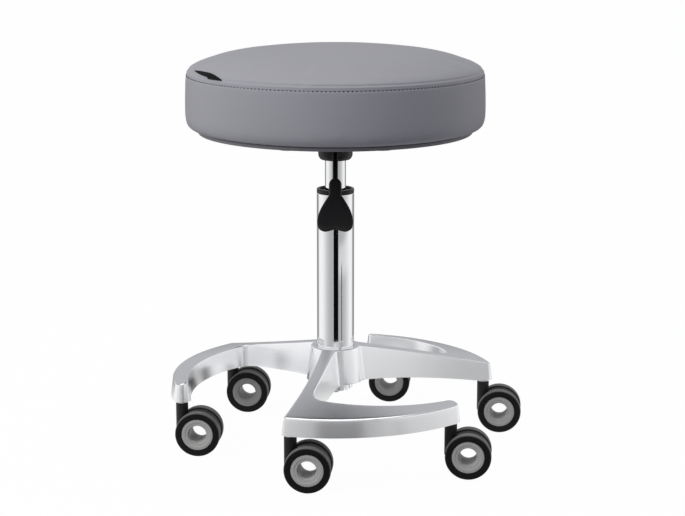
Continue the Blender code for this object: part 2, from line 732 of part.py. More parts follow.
def build_mount(lift):
    plate = prism(rounded_square(PLATE_SIZE, PLATE_CORNER), PLATE_BOTTOM, PLATE_TOP)
    mount = add_object("seat_mount", plate, BLACK_STEEL, lift)
    socket = drum(SOCKET_RADIUS, SOCKET_BOTTOM, PLATE_BOTTOM + PLATE_THICKNESS / 2, COLUMN_STEPS)
    combine(mount, socket, "UNION")
    bore = CYLINDER_RADIUS + FIT
    chamber = CYLINDER_RADIUS + CHAMBER_STEP
    hollow = (
        (0, PLATE_BOTTOM),
        (chamber, PLATE_BOTTOM),
        (chamber, CYLINDER_TOP),
        (bore, CYLINDER_TOP),
        (bore, SOCKET_BOTTOM - PASS),
        (0, SOCKET_BOTTOM - PASS),
    )
    combine(mount, turned(hollow, COLUMN_STEPS, closed=False), "DIFFERENCE")
    combine(mount, lever_slot(LEVER_SIDE_GAP), "DIFFERENCE")
    pin_hole = along_x(drum(PIN_DIAMETER / 2 + FIT, -SOCKET_RADIUS - PASS, SOCKET_RADIUS + PASS, STEM_STEPS))
    combine(mount, moved(pin_hole, (0, -LEVER_PIVOT_REACH, LEVER_HEIGHT)), "DIFFERENCE")
    for x, y in screw_places():
        hole = drum(SCREW_DIAMETER / 2 + FIT, PLATE_BOTTOM - PASS, PLATE_TOP + PASS, STEM_STEPS)
        combine(mount, moved(hole, (x, y, 0)), "DIFFERENCE")

    sleeve = SOCKET_RADIUS + FIT
    round_centre = (COVER_RADIUS - COVER_ROUND, COVER_BOTTOM + COVER_ROUND)
    rounding = arc(round_centre, COVER_ROUND, -math.pi / 2, 0, 3)
    cover = [(bore, COVER_BOTTOM)] + [(point.x, point.y) for point in rounding]
    cover += [
        (COVER_RADIUS, PLATE_BOTTOM - FIT),
        (sleeve, PLATE_BOTTOM - FIT),
        (sleeve, COVER_BOTTOM + COVER_LIP),
        (bore, COVER_BOTTOM + COVER_LIP),
    ]
    shroud = add_object("socket_cover", turned(cover, COLUMN_STEPS), BLACK_PLASTIC, lift)
    combine(shroud, lever_slot(LEVER_SIDE_GAP), "DIFFERENCE")

    under = PLATE_BOTTOM - FIT
    head = SCREW_DIAMETER / 2 + SCREW_HEAD_WIDTH
    for number, (x, y) in enumerate(screw_places(), 1):
        screw = (
            (0, SCREW_TOP),
            (SCREW_DIAMETER / 2, SCREW_TOP),
            (SCREW_DIAMETER / 2, under),
            (head, under),
            (head, under - SCREW_HEAD_HEIGHT * SCREW_HEAD_SIDE),
            (head * SCREW_HEAD_CROWN, under - SCREW_HEAD_HEIGHT),
            (0, under - SCREW_HEAD_HEIGHT),
        )
        name = f"seat_screw_{number}"
        add_object(name, turned(screw, STEM_STEPS, closed=False), STEEL, lift, (x, y, 0))


def lever_direction():
    """Unit vectors along the sloping part of the lever and square to it, in Y and Z."""
    along = Vector((0, -math.cos(LEVER_SLOPE), -math.sin(LEVER_SLOPE)))
    across = Vector((0, -math.sin(LEVER_SLOPE), math.cos(LEVER_SLOPE)))
    return along, across


def lever_bend():
    """Centre line of the lever round its bend, measured from the pivot."""
    bend_y = LEVER_PIVOT_REACH - COVER_RADIUS - LEVER_BEND_GAP
    points = []
    steps = 4
    for step in range(steps + 1):
        angle = LEVER_SLOPE * step / steps
        drop = LEVER_BEND_RADIUS * (1 - math.cos(angle))
        points.append(Vector((0, bend_y - LEVER_BEND_RADIUS * math.sin(angle), -drop)))
    return points


def swept_rod(path, radius):
    """A round rod along points in the YZ plane, closed at both ends."""
    bm = bmesh.new()
    rows = []
    for index, point in enumerate(path):
        before = path[max(index - 1, 0)]
        after = path[min(index + 1, len(path) - 1)]
        along = (after - before).normalized()
        across = Vector((0, -along.z, along.y))
        row = []
        for side in range(ROD_STEPS):
            angle = 2 * math.pi * (side + 0.5) / ROD_STEPS
            offset = Vector((radius * math.cos(angle), 0, 0)) + across * (radius * math.sin(angle))
            row.append(bm.verts.new(point + offset))
        rows.append(row)
    for low, high in zip(rows, rows[1:]):
        for side in range(ROD_STEPS):
            after = (side + 1) % ROD_STEPS
            bm.faces.new((low[side], low[after], high[after], high[side]))
    bm.faces.new(rows[0])
    bm.faces.new(rows[-1])
    bmesh.ops.recalc_face_normals(bm, faces=bm.faces[:])
    return bm


def paddle_outline():
    """Half of the paddle's outline as (along, sideways) points from its neck to its notch."""
    neck = LEVER_DIAMETER / 2 + PADDLE_NECK_WALL
    wide = PADDLE_WIDTH / 2
    lobe = PADDLE_LOBE_RADIUS
    lobe_centre = wide - lobe
    lobe_along = PADDLE_LENGTH - lobe
    points = [Vector((neck * along, neck * across)) for along, across in PADDLE_NECK_ROUND]
    points.append(Vector((PADDLE_NECK_LENGTH, neck)))
    flare = (lobe_along - PADDLE_NECK_LENGTH) / (len(PADDLE_FLARE) + 1)
    for step, share in enumerate(PADDLE_FLARE, 1):
        points.append(Vector((PADDLE_NECK_LENGTH + flare * step, neck + (wide - neck) * share)))
    for degrees in (0, 30, 60, 90, 115):
        angle = math.radians(degrees)
        sideways = lobe_centre + lobe * math.cos(angle)
        points.append(Vector((lobe_along + lobe * math.sin(angle), sideways)))
    points.append(Vector((PADDLE_LENGTH - PADDLE_NOTCH, 0)))
    return points


def build_lever(pivot, lift):
    along, across = lever_direction()
    bend = lever_bend()
    straight_end = bend[-1] + along * (LEVER_STRAIGHT + LEVER_IN_PADDLE)
    path = [Vector((0, LEVER_PIVOT_REACH + LEVER_INNER_END, 0))] + bend + [straight_end]
    lever = add_object("lever_rod", swept_rod(path, LEVER_DIAMETER / 2), BLACK_STEEL, pivot)
    hole = drum(PIN_DIAMETER / 2 + FIT, -LEVER_DIAMETER, LEVER_DIAMETER, STEM_STEPS)
    combine(lever, along_x(hole), "DIFFERENCE")

    neck_start = bend[-1] + along * LEVER_STRAIGHT
    neck_thickness = LEVER_DIAMETER + 2 * PADDLE_FACE_WALL
    half = paddle_outline()
    outline = half + [Vector((point.x, -point.y)) for point in half[-2::-1]]
    bm = bmesh.new()
    rows = []
    for side in (-0.5, 0.5):
        row = []
        for point in outline:
            share = point.x / PADDLE_LENGTH
            thick = neck_thickness + (PADDLE_TIP_THICKNESS - neck_thickness) * share
            place = neck_start + along * point.x + across * (thick * side)
            row.append(bm.verts.new(place + Vector((point.y, 0, 0))))
        rows.append(row)
    for index in range(len(outline)):
        after = (index + 1) % len(outline)
        bm.faces.new((rows[0][index], rows[0][after], rows[1][after], rows[1][index]))
    faces = [bm.faces.new(rows[0]), bm.faces.new(rows[1])]
    bmesh.ops.recalc_face_normals(bm, faces=bm.faces[:])
    rims = list({edge for face in faces for edge in face.edges})
    bmesh.ops.bevel(bm, geom=rims, offset=PADDLE_EDGE, segments=1, affect="EDGES", clamp_overlap=True)
    paddle = add_object("lever_paddle", bm, BLACK_PLASTIC, pivot)
    socket_path = [neck_start - along * PASS, neck_start + along * (LEVER_IN_PADDLE + FIT)]
    combine(paddle, swept_rod(socket_path, LEVER_DIAMETER / 2 + FIT), "DIFFERENCE")

    reach = math.sqrt(SOCKET_RADIUS**2 - (LEVER_PIVOT_REACH + PIN_DIAMETER / 2) ** 2) - FIT
    pin = along_x(drum(PIN_DIAMETER / 2, -reach, reach, STEM_STEPS))
    add_object("lever_pivot_pin", pin, STEEL, lift, pivot.location)


# Seat: a pan, a plywood board set into the foam, and the upholstered cushion.


def crown_height(radius):
    """Height of the cushion's top over the floor, with a rolled edge and a low crown."""
    roll = (radius - (SEAM_RADIUS - CROWN_EDGE_WIDTH)) / CROWN_EDGE_WIDTH
    roll = min(max(roll, 0.0), 1.0)
    share = radius / SEAM_RADIUS
    return SEAM_HEIGHT + CROWN_EDGE_RISE * math.sqrt(1 - roll**2) + CROWN_RISE * (1 - share**2)


def cushion_profile():
    points = [(0, crown_height(0))]
    flat = SEAM_RADIUS - CROWN_EDGE_WIDTH
    for share in (0.4, 0.75, 1.0):
        points.append((flat * share, crown_height(flat * share)))
    for degrees in (25, 42, 57, 70, 81):
        radius = flat + CROWN_EDGE_WIDTH * math.sin(math.radians(degrees))
        points.append((radius, crown_height(radius)))
    points.append((SEAM_RADIUS, SEAM_HEIGHT + SEAM_GROOVE))
    points.append((SEAM_RADIUS - SEAM_GROOVE, SEAM_HEIGHT))
    points.append((SEAM_RADIUS, SEAM_HEIGHT - SEAM_GROOVE))
    low = CUSHION_BOTTOM + BOTTOM_ROUND
    for share in (0.22, 0.5, 0.78):
        swell = SEAM_INSET * (1 - 4 * (share - 0.5) ** 2)
        points.append((SEAM_RADIUS + swell, SEAM_HEIGHT + (low - SEAM_HEIGHT) * share))
    corner = arc((SEAM_RADIUS - BOTTOM_ROUND, low), BOTTOM_ROUND, 0, -math.pi / 2, 4)
    points += [(point.x, point.y) for point in corner]
    recess = BOARD_RADIUS + FIT
    points += [(recess, CUSHION_BOTTOM), (recess, BOARD_TOP + FIT), (0, BOARD_TOP + FIT)]
    return points


def build_seat(lift):
    edge = SEAT_RADIUS - PAN_INSET
    pan_top = PAN_BOTTOM + PAN_THICKNESS
    pan_profile = (
        (0, pan_top),
        (edge, pan_top),
        (edge, PAN_BOTTOM + PAN_EDGE),
        (edge - PAN_EDGE, PAN_BOTTOM),
        (0, PAN_BOTTOM),
    )
    pan = add_object("seat_pan", turned(pan_profile, SEAT_STEPS, closed=False), PAN_PLASTIC, lift)
    board_solid = drum(BOARD_RADIUS, CUSHION_BOTTOM, BOARD_TOP, SEAT_STEPS)
    board = add_object("seat_board", board_solid, PLYWOOD, lift)
    for target in (pan, board):
        for x, y in screw_places():
            hole = drum(SCREW_DIAMETER / 2 + FIT, PAN_BOTTOM - PASS, SCREW_TOP + FIT, STEM_STEPS)
            combine(target, moved(hole, (x, y, 0)), "DIFFERENCE")
    cushion = turned(cushion_profile(), SEAT_STEPS, closed=False)
    add_object("seat_cushion", cushion, LEATHERETTE, lift)

    bm = bmesh.new()
    steps = 8
    span = TAB_LENGTH / SEAM_RADIUS
    rows = []
    for lift_up in (FIT, FIT + TAB_THICKNESS):
        for inset in (0.0, 0.5, 1.0):
            radius = SEAM_RADIUS - SEAM_GROOVE - TAB_WIDTH * inset
            row = []
            for step in range(steps + 1):
                angle = TAB_ANGLE + span * (step / steps - 0.5)
                slope = crown_height(radius - SEAM_GROOVE) - crown_height(radius + SEAM_GROOVE)
                normal = Vector((slope, 2 * SEAM_GROOVE)).normalized()
                outward = radius + normal.x * lift_up
                upward = crown_height(radius) + normal.y * lift_up
                place = Vector((outward * math.cos(angle), outward * math.sin(angle), upward))
                row.append(bm.verts.new(place))
            rows.append(row)
    under = rows[:3]
    over = rows[3:]
    for sheet in (under, over):
        for low, high in zip(sheet, sheet[1:]):
            for step in range(steps):
                bm.faces.new((low[step], low[step + 1], high[step + 1], high[step]))
    for low, high in ((under[0], over[0]), (under[2], over[2])):
        for step in range(steps):
            bm.faces.new((low[step], low[step + 1], high[step + 1], high[step]))
    for step in (0, steps):
        for row in range(2):
            bm.faces.new((under[row][step], under[row + 1][step], over[row + 1][step], over[row][step]))
    bmesh.ops.recalc_face_normals(bm, faces=bm.faces[:])
    add_object("cushion_tab", bm, WEBBING, lift)


# Casters: a stem fixed in the arm, a body that swivels on it and two wheels on a hollow axle.


def body_mesh():
    """The caster body about its stem axis, with the wheels' axle at CASTER_TRAIL along +X."""
    lowest = BODY_FLOOR_GAP - AXLE_HEIGHT
    outline = []
    for step in range(WHEEL_STEPS):
        angle = 2 * math.pi * step / WHEEL_STEPS
        outline.append((BODY_RADIUS * math.cos(angle), BODY_RADIUS * math.sin(angle)))
    disc = prism(outline, -BODY_WIDTH / 2, BODY_WIDTH / 2)
    body = add_object("caster_body", along_y(disc), BLACK_PLASTIC)
    far = BODY_RADIUS + PASS
    skirt = box((-far, -far, -far), (far, far, lowest))
    combine(body, skirt, "DIFFERENCE")
    half_axle = BODY_WIDTH / 2 + WHEEL_GAP + WHEEL_WIDTH - RIM_RECESS - RIM_LIP - FIT
    combine(body, along_y(drum(AXLE_RADIUS, -half_axle, half_axle, WHEEL_STEPS)), "UNION")
    bore = drum(AXLE_RADIUS - AXLE_WALL, -half_axle - PASS, half_axle + PASS, WHEEL_STEPS)
    top = ARM_FOOT - BOSS_LIP - FIT - FLANGE_THICKNESS - FIT - AXLE_HEIGHT
    housing_bottom = top - STEM_IN_HOUSING - HOUSING_FLOOR
    housing = drum(HOUSING_RADIUS, housing_bottom, top, SMALL_STEPS)
    combine(body, moved(housing, (-CASTER_TRAIL, 0, 0)), "UNION")
    combine(body, along_y(bore), "DIFFERENCE")
    well = drum(STEM_DIAMETER / 2 + FIT, top - STEM_IN_HOUSING - FIT, top + PASS, STEM_STEPS)
    combine(body, moved(well, (-CASTER_TRAIL, 0, 0)), "DIFFERENCE")
    mesh = body.data
    mesh.transform(Matrix.Translation((CASTER_TRAIL, 0, AXLE_HEIGHT)))
    bpy.data.objects.remove(body, do_unlink=True)
    return mesh


def wheel_bodies():
    """Tyre and rim of one wheel about its axle, the outer face towards +Z."""
    near = BODY_WIDTH / 2 + WHEEL_GAP
    far = near + WHEEL_WIDTH
    tread = WHEEL_DIAMETER / 2 / math.cos(math.pi / WHEEL_STEPS)
    tyre = (
        (TYRE_SEAT_RADIUS, near),
        (tread - TYRE_SHOULDER, near),
        (tread, near + TYRE_SHOULDER),
        (tread, far - TYRE_SHOULDER),
        (tread - TYRE_SHOULDER, far),
        (TYRE_SEAT_RADIUS, far),
    )
    face = far - RIM_RECESS
    bearing = AXLE_RADIUS + FIT
    rim = (
        (bearing, near),
        (TYRE_SEAT_RADIUS - FIT, near),
        (TYRE_SEAT_RADIUS - FIT, face),
        (RIM_OPENING_RADIUS, face),
        (RIM_OPENING_RADIUS, face - RIM_LIP),
        (bearing, face - RIM_LIP),
    )
    return turned(tyre, WHEEL_STEPS), turned(rim, WHEEL_STEPS)


def build_casters():
    shared_body = body_mesh()
    flange_top = ARM_FOOT - BOSS_LIP - FIT
    flange_bottom = flange_top - FLANGE_THICKNESS
    shank = STEM_DIAMETER / 2
    flange = HOUSING_RADIUS - FLANGE_INSET
    stem = (
        (0, ARM_FOOT + STEM_IN_ARM),
        (shank, ARM_FOOT + STEM_IN_ARM),
        (shank, flange_top),
        (flange, flange_top),
        (flange, flange_bottom),
        (shank, flange_bottom),
        (shank, flange_bottom - STEM_IN_HOUSING),
        (0, flange_bottom - STEM_IN_HOUSING),
    )
    for number, angle in enumerate(caster_places(), 1):
        place = (STEM_RADIUS * math.cos(angle), STEM_RADIUS * math.sin(angle), 0)
        name = f"caster_{number}"
        add_object(f"{name}_stem", turned(stem, STEM_STEPS, closed=False), STEEL, None, place)
        swivel = add_empty(f"{name}_swivel", None, place, (0, 0, CASTER_HEADING))
        add_mesh(f"{name}_body", shared_body, BLACK_PLASTIC, swivel)
        axle = (CASTER_TRAIL, 0, AXLE_HEIGHT)
        for side, quarter in (("front", 90.0), ("rear", -90.0)):
            tyre, rim = wheel_bodies()
            turn = (math.radians(quarter), 0, 0)
            add_object(f"{name}_tyre_{side}", tyre, RUBBER, swivel, axle, turn)
            add_object(f"{name}_rim_{side}", rim, GREY_PLASTIC, swivel, axle, turn)


build_base()
seat_swivel = add_empty("seat_swivel")
seat_lift = add_empty("seat_lift", seat_swivel)
lever_pivot = add_empty("lever_pivot", seat_lift, (0, -LEVER_PIVOT_REACH, LEVER_HEIGHT))
build_column(seat_swivel, seat_lift)
build_mount(seat_lift)
build_lever(lever_pivot, seat_lift)
build_seat(seat_lift)
build_casters()
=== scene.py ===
# Exam stool, as it looks: a round leatherette seat on a chromed gas lift, carried by a polished
# cast base with three hooked arms and six twin-wheel casters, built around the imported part.

import json
import math

import bpy
from mathutils import Matrix, Vector


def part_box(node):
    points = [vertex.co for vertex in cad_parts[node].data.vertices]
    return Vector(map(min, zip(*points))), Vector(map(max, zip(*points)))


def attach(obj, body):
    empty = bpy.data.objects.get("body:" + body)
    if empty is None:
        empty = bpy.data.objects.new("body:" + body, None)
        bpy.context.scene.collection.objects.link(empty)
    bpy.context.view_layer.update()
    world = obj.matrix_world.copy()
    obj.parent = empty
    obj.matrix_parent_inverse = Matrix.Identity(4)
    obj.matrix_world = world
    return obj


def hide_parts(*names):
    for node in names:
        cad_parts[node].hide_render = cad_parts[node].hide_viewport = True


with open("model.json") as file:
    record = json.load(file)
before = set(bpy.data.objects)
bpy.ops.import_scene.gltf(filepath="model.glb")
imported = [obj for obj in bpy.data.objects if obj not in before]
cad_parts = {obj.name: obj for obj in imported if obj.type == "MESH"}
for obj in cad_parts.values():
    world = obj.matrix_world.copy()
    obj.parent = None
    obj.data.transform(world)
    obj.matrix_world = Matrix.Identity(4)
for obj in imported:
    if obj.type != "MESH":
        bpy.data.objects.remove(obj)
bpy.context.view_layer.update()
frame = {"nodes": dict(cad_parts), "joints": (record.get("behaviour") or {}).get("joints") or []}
bpy.ops.object.select_all(action="DESELECT")


# Base casting: a hub and three arms in one piece of cast aluminium, ground and polished all over.
# Each arm is a spoke that turns into a hook, with a draft on its sides and a hollow underside.
# One arm is a grid, rolled into its section along the arm's two edges and copied round the hub.

HUB_RADIUS, HUB_HEIGHT, HUB_EDGE, HUB_FILLET = 0.033, 0.048, 0.002, 0.004
HUB_CLEARANCE, ARM_ROOT, ROOT_DEPTH = 0.0004, 0.010, 0.0036
SPOKE_HUB_OFFSET, SPOKE_WAIST_OFFSET, SPOKE_CORNER_OFFSET = 0.0105, 0.0020, 0.0060
SPOKE_INNER_OFFSET, SPOKE_INNER_SPREAD = 0.0084, 0.0037
ARM_FOOT, ARM_TIP_TOP, ARM_END_RADIUS, UNDERSIDE_CURVE = 0.0715, 0.0970, 0.0085, 1.6
ARM_SINK, ARM_EDGE, CORNER_ROUND = 0.00005, 0.0022, 0.0035
HOOK_ROOT_WIDTH, HOOK_ROOT_ANGLE, HOOK_SWEEP = 0.0485, math.radians(11.0), math.radians(60.0)
HOOK_CORNER_REACH, HOOK_CORNER_EASE, HOOK_SWELL = 0.072, 0.002, 0.28
DRAFT = math.tan(math.radians(7.5))
POCKET_WALL, POCKET_ROOF = 0.004, 0.005
BOSS_RADIUS, BOSS_LIP, BOSS_TOP = 0.0080, 0.0004, 0.0811
SPOKE_POINTS, TURN_POINTS, CORNER_POINTS = 12, 14, 10  # points of an edge, stretch by stretch
RIM_POINTS, HOOK_POINTS, END_POINTS, TOP_POINTS = 12, 44, 14, 8

tube_low, tube_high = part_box("column_tube")
stem_low, stem_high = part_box("caster_1_stem")
stem_place = (stem_low + stem_high) / 2
stem_circle = stem_place.xy.length
arm_angle = math.atan2(stem_place.y, stem_place.x)
hub_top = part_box("base_casting")[1].z
hub_bottom = hub_top - HUB_HEIGHT
outer_radius = stem_circle + ARM_END_RADIUS
opening = stem_circle - HOOK_CORNER_REACH


def arm_top(radius):
    share = max((radius - HUB_RADIUS) / (stem_circle - HUB_RADIUS), 0.0)
    return hub_top - ARM_SINK + (ARM_TIP_TOP - hub_top) * share


def arm_underside(radius):
    share = (radius - HUB_RADIUS) / (stem_circle - BOSS_RADIUS - HUB_RADIUS)
    drawn_up = min(max(share, 0.0), 1.0) ** UNDERSIDE_CURVE
    return hub_bottom + ARM_SINK + (ARM_FOOT - hub_bottom) * drawn_up


def polar(radius, angle):
    return Vector((radius * math.cos(angle), radius * math.sin(angle)))


def spoke_side(x):
    share = (x - HUB_RADIUS) / (stem_circle - HUB_RADIUS)
    root = (SPOKE_HUB_OFFSET - SPOKE_WAIST_OFFSET) * (1 - share) ** 3
    corner = (SPOKE_CORNER_OFFSET - SPOKE_WAIST_OFFSET) * share**3
    return Vector((x, -SPOKE_WAIST_OFFSET - root - corner))


def spoke_inner_side(x):
    share = (x - HUB_RADIUS) / (opening - HUB_RADIUS)
    return Vector((x, SPOKE_INNER_OFFSET + SPOKE_INNER_SPREAD * share))


def curve(first, control, last, share):
    return first.lerp(control, share).lerp(control.lerp(last, share), share)


def arm_plan():
    """The two edges of an arm's top beyond the hub's fillets, seen from above, point by point."""
    start = HUB_RADIUS + ARM_ROOT
    along = [start + (opening - start) * n / SPOKE_POINTS for n in range(SPOKE_POINTS)]
    outer = [spoke_side(x) for x in along]
    inner = [spoke_inner_side(x) for x in along]

    corner_y = spoke_side(outer_radius).y
    corner_x = math.sqrt(outer_radius**2 - corner_y**2)
    corner = Vector((corner_x, corner_y))
    corner_angle = math.atan2(corner_y, corner_x)
    before = spoke_side(corner_x - CORNER_ROUND)
    after_angle = corner_angle + CORNER_ROUND / outer_radius
    after = polar(outer_radius, after_angle)
    turn_edge = []
    for n in range(TURN_POINTS):
        turn_edge.append(spoke_side(opening + (before.x - opening) * n / TURN_POINTS))
    for n in range(CORNER_POINTS):
        turn_edge.append(curve(before, corner, after, n / CORNER_POINTS))
    for n in range(RIM_POINTS):
        angle = after_angle + (HOOK_ROOT_ANGLE - after_angle) * n / RIM_POINTS
        turn_edge.append(polar(outer_radius, angle))
    first = spoke_inner_side(opening)
    root = polar(outer_radius - HOOK_ROOT_WIDTH, HOOK_ROOT_ANGLE)
    control = Vector((root.x - HOOK_CORNER_EASE, first.y))
    outer += turn_edge
    inner += [curve(first, control, root, n / len(turn_edge)) for n in range(len(turn_edge))]

    for n in range(HOOK_POINTS):
        share = n / HOOK_POINTS
        angle = HOOK_ROOT_ANGLE + (HOOK_SWEEP - HOOK_ROOT_ANGLE) * share
        taper = share + HOOK_SWELL * share * (1 - share)
        width = HOOK_ROOT_WIDTH + (2 * ARM_END_RADIUS - HOOK_ROOT_WIDTH) * taper
        outer.append(polar(outer_radius, angle))
        inner.append(polar(outer_radius - width, angle))
    centre = polar(stem_circle, HOOK_SWEEP)
    for n in range(END_POINTS + 1):
        rounded = math.pi / 2 * n / END_POINTS
        ahead = polar(ARM_END_RADIUS, HOOK_SWEEP + math.pi / 2) * math.sin(rounded)
        side = polar(ARM_END_RADIUS, HOOK_SWEEP) * math.cos(rounded)
        outer.append(centre + ahead + side)
        inner.append(centre + ahead - side)
    return outer, inner


ROOT_STEPS = 9
arm_edges = arm_plan()


def edge_point(side, station, spread):
    """A point of an arm's outer (0) or inner (1) edge, moved out of the arm by spread.
    The first stations follow the fillet between the hub and the spoke."""
    edge = arm_edges[side]
    number = max(station - ROOT_STEPS, 0)
    along = (edge[min(number + 1, len(edge) - 1)] - edge[max(number - 1, 0)]).normalized()
    if number == len(edge) - 1:
        along = polar(1, HOOK_SWEEP) * (1 if side else -1)
    out = Vector((along.y, -along.x)) * (-1 if side else 1)
    if station >= ROOT_STEPS:
        return edge[number] + out * spread
    offset = edge[0].dot(out) + spread + HUB_FILLET
    reach = HUB_RADIUS + spread + HUB_FILLET
    centre = out * offset + along * math.sqrt(reach**2 - offset**2)
    if station == 0:
        return centre.normalized() * (reach - HUB_FILLET - ROOT_DEPTH)
    share = (station - 1) / (ROOT_STEPS - 2)
    towards = (-centre.normalized()).slerp(-out, share)
    return centre + towards * HUB_FILLET


def arm_section(station, hollow):
    """The points round an arm at one station: outer side, crest, top, inner side, hollow."""
    heights = []
    rails = []
    for side in (0, 1):
        foot = edge_point(side, station, 0.0).length
        height = arm_top(foot) - arm_underside(foot)
        heights.append(height)
        rail = [(DRAFT * drop, drop) for drop in (height, height * 0.66, height * 0.33, ARM_EDGE)]
        for degrees in (22.5, 45.0, 67.5, 90.0):
            angle = math.radians(degrees)
            drawn_in = (DRAFT * ARM_EDGE + ARM_EDGE) * (1 - math.cos(angle))
            rail.append((DRAFT * ARM_EDGE - drawn_in, ARM_EDGE * (1 - math.sin(angle))))
        points = []
        for spread, drop in rail:
            place = edge_point(side, station, spread)
            level = arm_top(foot if drop > ARM_EDGE else place.length) - drop
            points.append(Vector((place.x, place.y, level)))
        rails.append(points)
    section = rails[0][:]
    for n in range(1, TOP_POINTS):
        place = rails[0][-1].xy.lerp(rails[1][-1].xy, n / TOP_POINTS)
        section.append(Vector((place.x, place.y, arm_top(place.length))))
    section += rails[1][::-1]
    floor = []
    for side in (1, 0):
        rim = edge_point(side, station, DRAFT * heights[side] - POCKET_WALL)
        level = rails[side][0].z
        depth = (heights[side] - POCKET_ROOF) * hollow
        roof = edge_point(side, station, DRAFT * (heights[side] - depth) - POCKET_WALL)
        floor.append((Vector((rim.x, rim.y, level)), Vector((roof.x, roof.y, level + depth))))
    section += [floor[0][0], floor[0][1]]
    section += [floor[0][1].lerp(floor[1][1], n / 4) for n in (1, 2, 3)]
    return section + [floor[1][1], floor[1][0]]


def apply_modifier(piece, kind, **settings):
    bpy.context.view_layer.objects.active = piece
    modifier = piece.modifiers.new(kind.lower(), kind)
    for name, setting in settings.items():
        setattr(modifier, name, setting)
    bpy.ops.object.modifier_apply(modifier=modifier.name)


def recalculate(piece):
    bpy.context.view_layer.objects.active = piece
    bpy.ops.object.mode_set(mode="EDIT")
    bpy.ops.mesh.select_all(action="SELECT")
    bpy.ops.mesh.normals_make_consistent(inside=False)
    bpy.ops.object.mode_set(mode="OBJECT")


def select_open_edges():
    bpy.ops.mesh.select_all(action="DESELECT")
    bpy.ops.mesh.select_non_manifold()


ROUND_SHARE = 0.48  # the most of a side that the round of its corner takes


def soften(profile, radius, steps):
    """A profile with each corner between its ends rounded."""
    points = [Vector(point) for point in profile]
    result = [points[0]]
    for before, corner, after in zip(points, points[1:], points[2:]):
        shorter = min((before - corner).length, (after - corner).length)
        reach = min(radius, shorter * ROUND_SHARE)
        start = corner + (before - corner).normalized() * reach
        end = corner + (after - corner).normalized() * reach
        result += [curve(start, corner, end, step / steps) for step in range(steps + 1)]
    return result + [points[-1]]


def turn(name, profile, edge=0.0, steps=4, sides=96, ring=False):
    """A piece turned about Z: a circle extruded and resized to each (radius, height) in turn,
    with its corners rounded by edge. A ring is closed inside, another piece at its two ends."""
    if edge:
        profile = soften(profile, edge, steps)
    bpy.ops.mesh.primitive_circle_add(vertices=sides, radius=profile[0][0])
    piece = bpy.context.object
    piece.name = piece.data.name = name
    bpy.ops.object.mode_set(mode="EDIT")
    bpy.ops.mesh.select_all(action="SELECT")
    bpy.ops.transform.translate(value=(0, 0, profile[0][1]))
    for (radius, height), (wider, higher) in zip(profile, profile[1:]):
        bpy.ops.mesh.extrude_region_move(TRANSFORM_OT_translate={"value": (0, 0, higher - height)})
        size = wider / radius
        bpy.ops.transform.resize(value=(size, size, 1), center_override=(0, 0, higher))
    select_open_edges()
    if ring:
        bpy.ops.mesh.bridge_edge_loops()
    else:
        bpy.ops.mesh.fill_holes(sides=0)
    bpy.ops.object.mode_set(mode="OBJECT")
    recalculate(piece)
    return piece


def put(piece, matrix):
    """Moves a piece into place, with its place in its mesh."""
    piece.data.transform(matrix)
    piece.data.update()
    return piece


def twin(piece, name, matrix):
    """A copy with a mesh of its own, put in another place."""
    made = piece.copy()
    made.data = piece.data.copy()
    made.name = made.data.name = name
    bpy.context.scene.collection.objects.link(made)
    return put(made, matrix)


def join(pieces):
    bpy.ops.object.select_all(action="DESELECT")
    for piece in pieces:
        piece.select_set(True)
    bpy.context.view_layer.objects.active = pieces[0]
    bpy.ops.object.join()
    return pieces[0]


def smooth(piece, angle=40.0):
    bpy.ops.object.select_all(action="DESELECT")
    piece.select_set(True)
    bpy.context.view_layer.objects.active = piece
    bpy.ops.object.shade_smooth_by_angle(angle=math.radians(angle))


class Value:
    """One socket of a material. Arithmetic on it adds Math nodes."""

    def __init__(self, socket):
        self.socket = socket

    def node(self, kind, settings=None, inputs=None, output=0):
        """Adds a node, sets it up, fills its sockets with values or links and gives one output."""
        tree = self.socket.id_data
        made = tree.nodes.new(kind)
        for name, setting in (settings or {}).items():
            setattr(made, name, setting)
        for key, value in (inputs or {}).items():
            if isinstance(value, Value):
                tree.links.new(value.socket, made.inputs[key])
            else:
                made.inputs[key].default_value = value
        return Value(made.outputs[output])

    def math(self, operation, first, second):
        return self.node("ShaderNodeMath", {"operation": operation}, {0: first, 1: second})

    def __add__(self, other):
        return self.math("ADD", self, other)

    __radd__ = __add__

    def __sub__(self, other):
        return self.math("SUBTRACT", self, other)

    def __rsub__(self, other):
        return self.math("SUBTRACT", other, self)

    def __mul__(self, other):
        return self.math("MULTIPLY", self, other)

    __rmul__ = __mul__

    def ramp(self, low, high):
        """0 up to low, 1 from high on, and a smooth step between."""
        return self.node(
            "ShaderNodeMapRange", {"interpolation_type": "SMOOTHSTEP"}, {0: self, 1: low, 2: high}
        )

    def mix(self, first, second):
        """From the first colour at 0 to the second at 1."""
        return self.node("ShaderNodeMix", {"data_type": "RGBA"}, {0: self, 6: first, 7: second}, 2)

    def stretched(self, scale):
        return self.node(
            "ShaderNodeMapping", {"vector_type": "POINT"}, {"Vector": self, "Scale": scale}
        )

    def noise(self, scale, detail=2.0):
        return self.node(
            "ShaderNodeTexNoise", {}, {"Vector": self, "Scale": scale, "Detail": detail}
        )

    def bump(self, strength, distance):
        return self.node(
            "ShaderNodeBump", {}, {"Height": self, "Strength": strength, "Distance": distance}
        )


def new_finish(name):
    """A material, and the Object coordinates that its pattern starts from."""
    finish = bpy.data.materials.new(name)
    finish.use_nodes = True
    coordinates = finish.node_tree.nodes.new("ShaderNodeTexCoord")
    return finish, Value(coordinates.outputs["Object"])


def set_surface(finish, sockets):
    surface = finish.node_tree.nodes["Principled BSDF"]
    for name, value in sockets.items():
        if isinstance(value, Value):
            finish.node_tree.links.new(value.socket, surface.inputs[name])
        else:
            surface.inputs[name].default_value = value


